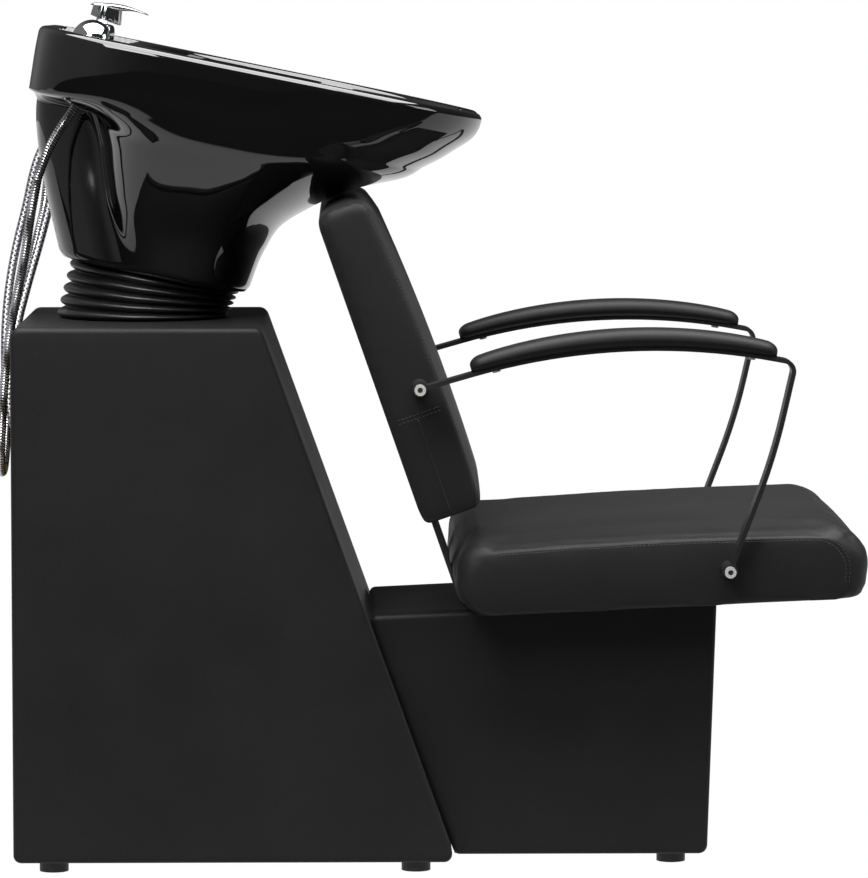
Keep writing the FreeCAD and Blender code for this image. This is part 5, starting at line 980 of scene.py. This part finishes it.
paddedSides("pedestalPanel", "pedestal_side_pad_", pedestalCorners, pedestal["panelCorners"], pedestalHalf)

seatBase = {"width": 0.297, "front": 0.318, "top": 0.307, "toe": 0.308, "gap": 0.0003, "heelDrop": 0.0122,
            "panelCorners": (0.008, 0.0075, 0.010, 0.010)}
rake = math.atan2(pedestal["toe"] - pedestal["topFront"], pedestal["top"] - pedestal["bottom"])


# Where the seat base's top line meets the pedestal's slope
def heelPoint():
    slope = math.tan(seatFrame["tilt"])
    reach = pedestal["topFront"] + pedestal["top"] * math.tan(rake) + seatBase["gap"] / math.cos(rake)
    level = seatBase["top"] - seatBase["front"] * slope
    along = (reach - level * math.tan(rake)) / (1 + slope * math.tan(rake))
    return along, level + along * slope


heelAlong, heelUp = heelPoint()
heelFoot = (heelAlong + seatBase["heelDrop"] * math.sin(rake), heelUp - seatBase["heelDrop"] * math.cos(rake))
baseCorners = [(pedestal["toe"] + seatBase["gap"] / math.cos(rake), pedestal["bottom"]), (heelAlong, heelUp),
               (seatBase["front"], seatBase["top"]), (seatBase["toe"], pedestal["bottom"])]
baseUnder = (seatBase["toe"] - padding["under"], pedestal["bottom"])
baseLine = roundedLoop([heelFoot] + baseCorners[1:] + [baseUnder],
                       [0, padding["underRound"], padding["topRound"], padding["underRound"], 0],
                       arcCount=12, runCount=30, closed=False)
baseHalf = seatBase["width"] / 2 - padding["thickness"]
paddedPiece(paddedBand("seatBaseBand", baseLine, baseHalf), "seat_base_wrap")
paddedSides("seatBasePanel", "seat_base_side_pad_", baseCorners, seatBase["panelCorners"], baseHalf)
print("stage pedestal")

stuffing = {"voxel": 0.006, "pressure": 4.0, "frames": 20, "shrink": 0.0022, "limit": 0.0036, "seam": 0.0048,
            "flat": 0.75, "quality": 6, "mass": 0.2, "stretch": 25, "bend": 3, "fill": 0.85}


# Stuffed cover: an even net, drawn in a little, swells under pressure while seams and flat back are held
def stuffed(piece, seams, restWay):
    even = piece.modifiers.new("even", "REMESH")
    even.mode = "VOXEL"
    even.voxel_size = stuffing["voxel"]
    even.use_smooth_shade = True
    net = appliedMesh(piece)
    piece.modifiers.remove(even)
    piece.data = net
    before = rowsOf(net.vertices, "co")
    normals = rowsOf(net.vertex_normals, "vector")
    seamGap = np.full(len(before), np.inf)
    for spot in np.concatenate(seams):
        seamGap = np.minimum(seamGap, np.linalg.norm(before - spot, axis=1))
    resting = normals @ np.asarray(restWay) > stuffing["flat"]
    before = before - normals * np.where(resting, 0.0, stuffing["shrink"])[:, None]
    setPoints(net, before)
    held = piece.vertex_groups.new(name="held")
    held.add(np.flatnonzero((seamGap < stuffing["seam"]) | resting).tolist(), 1.0, "REPLACE")
    cover = piece.modifiers.new("cover", "CLOTH")
    cover.settings.quality = stuffing["quality"]
    cover.settings.mass = stuffing["mass"]
    cover.settings.tension_stiffness = stuffing["stretch"]
    cover.settings.compression_stiffness = stuffing["stretch"]
    cover.settings.bending_stiffness = stuffing["bend"]
    cover.settings.use_pressure = True
    cover.settings.uniform_pressure_force = stuffing["pressure"]
    cover.settings.vertex_group_mass = "held"
    cover.settings.effector_weights.gravity = 0
    cover.collision_settings.use_collision = False
    for frameNumber in range(1, stuffing["frames"] + 1):
        scene.frame_set(frameNumber)
    swollen = appliedMesh(piece)
    moved = rowsOf(swollen.vertices, "co") - before
    reach = np.linalg.norm(moved, axis=1)
    print("  swelling, mm: mean and most", np.round([reach.mean() / millimetre, reach.max() / millimetre], 2))
    moved *= np.minimum(1, stuffing["limit"] / np.maximum(reach, 1e-9))[:, None]
    piece.modifiers.remove(cover)
    piece.vertex_groups.clear()
    bpy.data.meshes.remove(swollen)
    scene.frame_set(1)
    setPoints(net, before + moved)
    fine = piece.modifiers.new("fine", "SUBSURF")
    fine.levels = fine.render_levels = 1


# Nearest points on a finished cushion, lifted by a hair
def laidOn(piece, line, lift):
    tree = BVHTree.FromObject(piece, bpy.context.evaluated_depsgraph_get())
    spots = []
    for spot in line:
        place, normal, _, _ = tree.find_nearest(Vector(spot))
        spots.append(place + normal * lift)
    return np.array([spot[:] for spot in spots])


# Cushion's outline at a distance from its side: drawn in by a quarter round, crowned towards the middle
def cushionOutline(profile, values, gap):
    inset = values["drawIn"] * (1 - math.sqrt(1 - (1 - min(gap / values["roll"], 1)) ** 2))
    return profile(inset, gap, 1 - ((values["half"] - gap) / values["half"]) ** 2)


# Stretch of the outline that a seam follows, on both sides
def seamRows(profile, place, values):
    lines = []
    for gap in values["seamGaps"]:
        outline = cushionOutline(profile, values, gap)[slice(*values["seamSpan"])]
        lines += [place(outline[:, 0], side * (values["half"] - gap + values["seamLift"]), outline[:, 1])
                  for side in (-1, 1)]
    return lines


# Cushion: outlines stacked across the width, with a puffed panel on each side
def cushionPiece(name, profile, place, values, node, seams, restWay):
    half, roll = values["half"], values["roll"]
    rolled = roll * (1 - np.cos(np.linspace(0, math.pi / 2, 8)))
    gaps = np.concatenate([rolled, np.linspace(roll * 1.6, half, 15)[:-1]])
    rows = []
    for offset in np.concatenate([-(half - gaps), [0.0], (half - gaps)[::-1]]):
        rows.append((cushionOutline(profile, values, half - abs(offset)), offset))
    for end, side in ((0, -1), (-1, 1)):
        outline = rows[end][0]
        middle = outline.mean(axis=0)
        extra = []
        for share in np.concatenate([[0.012, 0.03], np.linspace(0.08, 0.96, 14)]):
            puff = values["puff"] * (1 - (1 - share) ** 3)
            extra.append((outline * (1 - share) + middle * share, side * (half + puff)))
        rows = extra[::-1] + rows if end == 0 else rows + extra
    points = np.array([place(flat[:, 0], offset, flat[:, 1]) for flat, offset in rows])
    piece = rowsPiece(name, points, "black_upholstery")
    stuffed(piece, seams, restWay)
    return paddedPiece(piece, node)


seat = {"length": 0.464, "half": 0.260, "height": 0.0835, "crown": 0.007, "swell": 0.003, "corner": 0.038,
        "nose": 0.036, "lip": 0.024, "edge": 0.012, "planCorner": 0.026, "planShare": 0.6, "roll": 0.028,
        "drawIn": 0.018, "puff": 0.0012, "seamGaps": (0.0004, 0.0014), "seamSpan": (44, 104),
        "seamLift": 0.0001}


# Side profile of the seat: flat below, rounded behind, a long nose that falls over the front
def seatOutline(inset, gap, middleShare):
    crown = seat["crown"] * middleShare
    cornerShare = max(0.0, 1 - gap / seat["planCorner"])
    frontBack = seat["planCorner"] * (1 - math.sqrt(max(0.0, 1 - cornerShare ** 2))) * seat["planShare"]
    rear, front = inset, seat["length"] - inset - frontBack
    high = seat["height"] - inset + crown
    corner, nose, lip, edge = seat["corner"], seat["nose"], seat["lip"], seat["edge"]
    pieces = [
        straight((rear + corner, 0), (front - edge, 0), 40),
        arcThrough((front - edge, 0), (front - edge * 0.28, lip * 0.34), (front, lip), 8),
        arcThrough((front, lip), (front - nose * 0.25, lip + (high - lip) * 0.78), (front - nose, high), 18),
        arcThrough((front - nose, high), ((rear + front) / 2, high + seat["swell"]),
                   (rear + corner, high - crown * 0.5), 40),
        arcThrough((rear + corner, high - crown * 0.5), (rear + corner * 0.25, high - corner * 0.2),
                   (rear, high - corner * 0.7), 10),
        straight((rear, high - corner * 0.7), (rear, corner * 0.8), 6),
        arcThrough((rear, corner * 0.8), (rear + corner * 0.3, corner * 0.24), (rear + corner, 0), 10),
    ]
    return np.concatenate([piece[:-1] for piece in pieces])


seatLines = seamRows(seatOutline, onSeat, seat)
seatPiece = cushionPiece("seatCushion", seatOutline, onSeat, seat, "seat_cushion", seatLines,
                         (math.sin(seatFrame["tilt"]), 0, -math.cos(seatFrame["tilt"])))

back = {"length": 0.373, "half": 0.250, "low": 0.0725, "high": 0.0625, "corner": 0.018, "lumbar": 0.006,
        "heel": 0.004, "heelHeight": 0.022, "roll": 0.014, "drawIn": 0.009, "puff": 0.0012,
        "seamGaps": (0.003,), "seamSpan": (10, 80), "seamLift": 0.0001,
        "crossSeams": (0.119, 0.1235), "crossSpan": (0.008, 0.062), "crossLift": 0.0013,
        "foldAlong": 0.0335, "foldSpan": (0.006, 0.118), "foldRadius": 0.0011, "foldLift": 0.0008}


# Side profile of the backrest: thinner upwards, rounded at the top, with a lumbar swell on its front
def backOutline(inset, gap, middleShare):
    crown = 0.5 * back["lumbar"] * middleShare
    low, high, corner = back["low"] + crown - inset, back["high"] + crown - inset, back["corner"]
    base, top = inset * 0.5, back["length"] - inset
    middle = (low + high) / 2 + back["lumbar"]
    heel, heelTop, cut = inset + back["heel"], base + back["heelHeight"], corner * 0.29
    pieces = [
        straight((heel, base), (low - corner * 0.4, base), 10),
        arcThrough((low - corner * 0.4, base), (low - corner * 0.06, base + corner * 0.4),
                   (low, base + corner), 8),
        arcThrough((low, base + corner), (middle, back["length"] * 0.45), (high, top - corner), 44),
        arcThrough((high, top - corner), (high - cut, top - cut), (high - corner, top), 10),
        straight((high - corner, top), (inset + corner, top), 8),
        arcThrough((inset + corner, top), (inset + cut, top - cut), (inset, top - corner), 10),
        straight((inset, top - corner), (inset, heelTop), 40),
        arcThrough((inset, heelTop), (inset + back["heel"] * 0.3, base + back["heelHeight"] * 0.45),
                   (heel, base), 8),
    ]
    return np.concatenate([piece[:-1] for piece in pieces])


backLines = seamRows(backOutline, onBack, back)
backPiece = cushionPiece("backCushion", backOutline, onBack, back, "backrest_cushion", backLines,
                         (-math.cos(backFrame["tilt"]), 0, -math.sin(backFrame["tilt"])))

stitch = {"length": 0.0034, "gap": 0.0012, "radius": 0.00045, "start": 0.002, "step": 0.0005, "lift": 0.0002,
          "taper": (0.45, 0.9, 1.0, 0.9, 0.45), "sides": 6}


# Stitches: short tapered threads laid end to end along a line on the surface
def stitchShells(points):
    line, stops = evenly(points, stitch["step"])
    length = stitch["length"]
    shares = np.linspace(0, 1, len(stitch["taper"]))
    shells = []
    for start in np.arange(stitch["start"], stops[-1] - length, length + stitch["gap"]):
        spots = stacked(*[np.interp(start + length * shares, stops, line[:, axis]) for axis in range(3)])
        shells.append(tube(spots, stitch["radius"] * np.array(stitch["taper"]), stitch["sides"]))
    return shells


def sewnPiece(name, cushion, lines):
    shells = [shell for line in lines for shell in stitchShells(laidOn(cushion, line, stitch["lift"]))]
    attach(meshPiece(name, *joined(shells), "black_upholstery", finish="threadBlack"), "pedestal")


for seamSide in (-1, 1):
    for seamLevel in back["crossSeams"]:
        crossY = seamSide * (back["half"] + back["crossLift"])
        backLines.append(onBack(np.linspace(*back["crossSpan"], 20), crossY, seamLevel))
sewnPiece("seatStitches", seatPiece, seatLines)
sewnPiece("backStitches", backPiece, backLines)

# Folded seam down the side of the backrest: a thin dark cord half sunk in the leather, painted shade for the
# shadowed groove of the fold
foldShadeShells = []
for seamSide in (-1, 1):
    foldY = seamSide * (back["half"] + back["foldLift"])
    foldEnds = onBack(back["foldAlong"], foldY, np.array(back["foldSpan"]))
    foldLine = laidOn(backPiece, evenly(foldEnds, 0.004)[0], 0)
    foldShadeShells.append(tube(foldLine, np.full(len(foldLine), back["foldRadius"]), 10))
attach(meshPiece("backFoldShade", *joined(foldShadeShells), "black_upholstery", finish="grooveShade"), "pedestal")
print("stage cushions")

arm = {"rear": (-0.0225, 0.557), "crest": (0.2035, 0.6215), "bend": (0.3935, 0.586), "foot": (0.3215, 0.354),
       "radius": 0.730, "bar": 0.005, "spread": 0.285, "start": 0.0355, "end": 0.3715, "width": 0.050,
       "thick": 0.020, "thin": 0.013, "gap": 0.0003, "fullness": 0.55, "endShare": 0.035, "endWidth": 0.55,
       "endThick": 0.5, "thinWidth": 0.86, "sole": 0.8, "wall": 0.28, "sideSquare": 0.55, "topSquare": 0.75,
       "boltFace": 0.3076, "socket": 0.0029, "socketDepths": (0.0029, 0.0015), "socketSides": 6}


# Point on the arc of the bar's crest, and the way that points out of it
def crestFrame(along):
    first, crest, second = (np.array(arm[key]) for key in ("rear", "crest", "bend"))
    backWay = (first - crest) / np.linalg.norm(first - crest)
    ahead = (second - crest) / np.linalg.norm(second - crest)
    halfTurn = (math.pi - math.acos(backWay @ ahead)) / 2
    bisector = (backWay + ahead) / np.linalg.norm(backWay + ahead)
    centre = crest + bisector * arm["radius"] / math.cos(halfTurn)
    sine = (along - centre[0]) / arm["radius"]
    outwardWay = np.array([sine, math.sqrt(1 - sine * sine)])
    return centre + outwardWay * arm["radius"], outwardWay


# Arm pad: a squared half oval over a flat sole, fuller in the middle, carried along the crest
def armPad(name, side, node):
    turn = np.linspace(0, math.pi, 25)
    rows = []
    for share in 0.5 - 0.5 * np.cos(np.linspace(0, math.pi, 61)):
        fullness = min(1.0, (share * (1 - share) * 4) ** arm["fullness"])
        endGap = max(0.0, 1 - min(share, 1 - share) / arm["endShare"])
        endRound = min(1.0, math.sqrt(max(0.0, 1 - endGap ** 2)))
        half = arm["width"] / 2 * (arm["thinWidth"] + (1 - arm["thinWidth"]) * fullness)
        half *= arm["endWidth"] + (1 - arm["endWidth"]) * endRound
        thick = arm["thin"] + (arm["thick"] - arm["thin"]) * fullness
        thick *= arm["endThick"] + (1 - arm["endThick"]) * endRound
        sweep = half * np.abs(np.cos(turn)) ** arm["sideSquare"]
        across = np.concatenate([[-arm["sole"] * half], -sweep[:12], [0.0], sweep[13:], [arm["sole"] * half]])
        arch = arm["wall"] * thick + (1 - arm["wall"]) * thick * np.sin(turn) ** arm["topSquare"]
        rise = np.concatenate([[0.0], arch, [0.0]])
        foot, outwardWay = crestFrame(arm["start"] + (arm["end"] - arm["start"]) * share)
        low = foot + outwardWay * (arm["bar"] / 2 + arm["gap"])
        rows.append(stacked(low[0] + outwardWay[0] * rise, side * arm["spread"] + across,
                            low[1] + outwardWay[1] * rise))
    paddedPiece(rowsPiece(name, np.array(rows), "arm_pad_foam"), node)


armPad("armPadLeft", 1, "arm_pad_left")
armPad("armPadRight", -1, "arm_pad_right")


# Painted shade in each arm bolt's socket: a dark hexagon at its bottom, in the dark plastic finish, standing
# in for the shadowed hollow
def socketShadeRows(centre, side):
    angle = ringTurns(arm["socketSides"])
    return np.array([stacked(centre[0] + arm["socket"] * np.cos(angle), side * (arm["boltFace"] - depth),
                             centre[1] + arm["socket"] * np.sin(angle)) for depth in arm["socketDepths"]])


# Painted shade: dark hexagons set into the bolt sockets where the hollows fall into shade
socketShades = [socketShadeRows(arm[end], side) for end in ("rear", "foot") for side in (-1, 1)]
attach(meshPiece("boltSocketShades", *joined(socketShades), "dark_plastic", smooth=False), "pedestal")
print("stage arms")

# Finishes of the pieces that keep their modelled shape; boards behind the upholstery are lined dark
for entry in frame["record"]["subparts"]:
    lined = entry["material_slot"] == "plywood" and entry["node"].startswith(("seat_", "backrest_"))
    for slot in bpy.data.objects[entry["node"]].material_slots:
        slot.link = "OBJECT"
        slot.material = finishes["plywoodLined" if lined else slotFinish[entry["material_slot"]]]

studio = {"floorDark": 0.34, "floorLight": 0.37, "floorHalf": 30, "floorGlow": 1.03,
          "floorShare": 0.975, "floorNear": (-0.57, -0.48), "floorLevels": (0.02, 0.72),
          "worldRear": (-0.10, -0.55), "worldLevels": (0.04, 0.26)}


# A field's span laid onto a span of levels
def ranged(tree, field, span, levels):
    inputs = {"Value": field, "From Min": span[0], "From Max": span[1],
              "To Min": levels[0], "To Max": levels[1]}
    return addNode(tree, "MapRange", inputs).outputs["Result"]


# Floor: pale and matt for light, white to the camera, and dimmer in reflections close to the near side
def studioFloor():
    material, tree, shader = newMaterial("floorPale")
    place = objectPlace(tree)
    patches = noiseField(tree, place, 3.0, 3.0)
    colour = tint(tree, patches, tone(studio["floorDark"]), tone(studio["floorLight"]))
    feed(tree, shader, {"Base Color": colour, "Roughness": 0.9, "Specular IOR Level": 0.1})
    ray = addNode(tree, "LightPath", {}).outputs
    nearness = addNode(tree, "SeparateXYZ", {"Vector": place}).outputs["Y"]
    mirrored = ranged(tree, nearness, studio["floorNear"], studio["floorLevels"])
    level = maths(tree, "MAXIMUM", ray["Is Camera Ray"], mirrored)
    glow = addNode(tree, "Emission", {"Color": tone(studio["floorGlow"]), "Strength": level}).outputs[0]
    seen = maths(tree, "MAXIMUM", ray["Is Camera Ray"], ray["Is Glossy Ray"])
    share = maths(tree, "MULTIPLY", seen, studio["floorShare"])
    mix = addNode(tree, "MixShader", {0: share, 1: shader.outputs[0], 2: glow}).outputs[0]
    feed(tree, tree.nodes["Material Output"], {"Surface": mix})
    mesh = bpy.data.meshes.new("studioFloor")
    far = studio["floorHalf"]
    mesh.from_pydata([(-far, -far, 0), (far, -far, 0), (far, far, 0), (-far, far, 0)], [], [(0, 1, 2, 3)])
    mesh.materials.append(material)
    piece = bpy.data.objects.new("studioFloor", mesh)
    scene.collection.objects.link(piece)


# Surroundings: white to the camera, dim for light, lighter behind the rear
def studioWorld():
    world = bpy.data.worlds.new("studioWorld")
    scene.world = world
    world.use_nodes = True
    tree = world.node_tree
    way = addNode(tree, "TexCoord", {}).outputs["Generated"]
    along = addNode(tree, "SeparateXYZ", {"Vector": way}).outputs["X"]
    strength = ranged(tree, along, studio["worldRear"], studio["worldLevels"])
    fill = feed(tree, tree.nodes["Background"], {"Color": tone(1.0), "Strength": strength}).outputs[0]
    white = addNode(tree, "Background", {"Color": tone(1.0), "Strength": 1.0}).outputs[0]
    seen = addNode(tree, "LightPath", {}).outputs["Is Camera Ray"]
    mix = addNode(tree, "MixShader", {0: seen, 1: fill, 2: white}).outputs[0]
    feed(tree, tree.nodes["World Output"], {"Surface": mix})


def softbox(name, place, target, width, height, power):
    light = bpy.data.lights.new(name, "AREA")
    light.shape = "RECTANGLE"
    light.size = width
    light.size_y = height
    light.energy = power
    holder = bpy.data.objects.new(name, light)
    holder.location = place
    holder.rotation_euler = (Vector(target) - Vector(place)).to_track_quat("-Z", "Y").to_euler()
    scene.collection.objects.link(holder)


studioFloor()
studioWorld()
softbox("topBox", (0.2, -0.5, 3.0), (0.1, 0.0, 0.5), 3.8, 3.0, 300)
softbox("frontBox", (3.4, -0.8, 2.0), (0.1, 0.0, 0.5), 1.4, 1.4, 24)
softbox("nearBox", (0.2, -3.0, 4.4), (0.0, 0.0, 0.3), 3.0, 1.6, 40)
softbox("leftBox", (-1.2, -3.9, 2.8), (0.0, 0.0, 0.4), 1.6, 1.6, 85)
scene.view_settings.view_transform = "Standard"
print("stage studio")
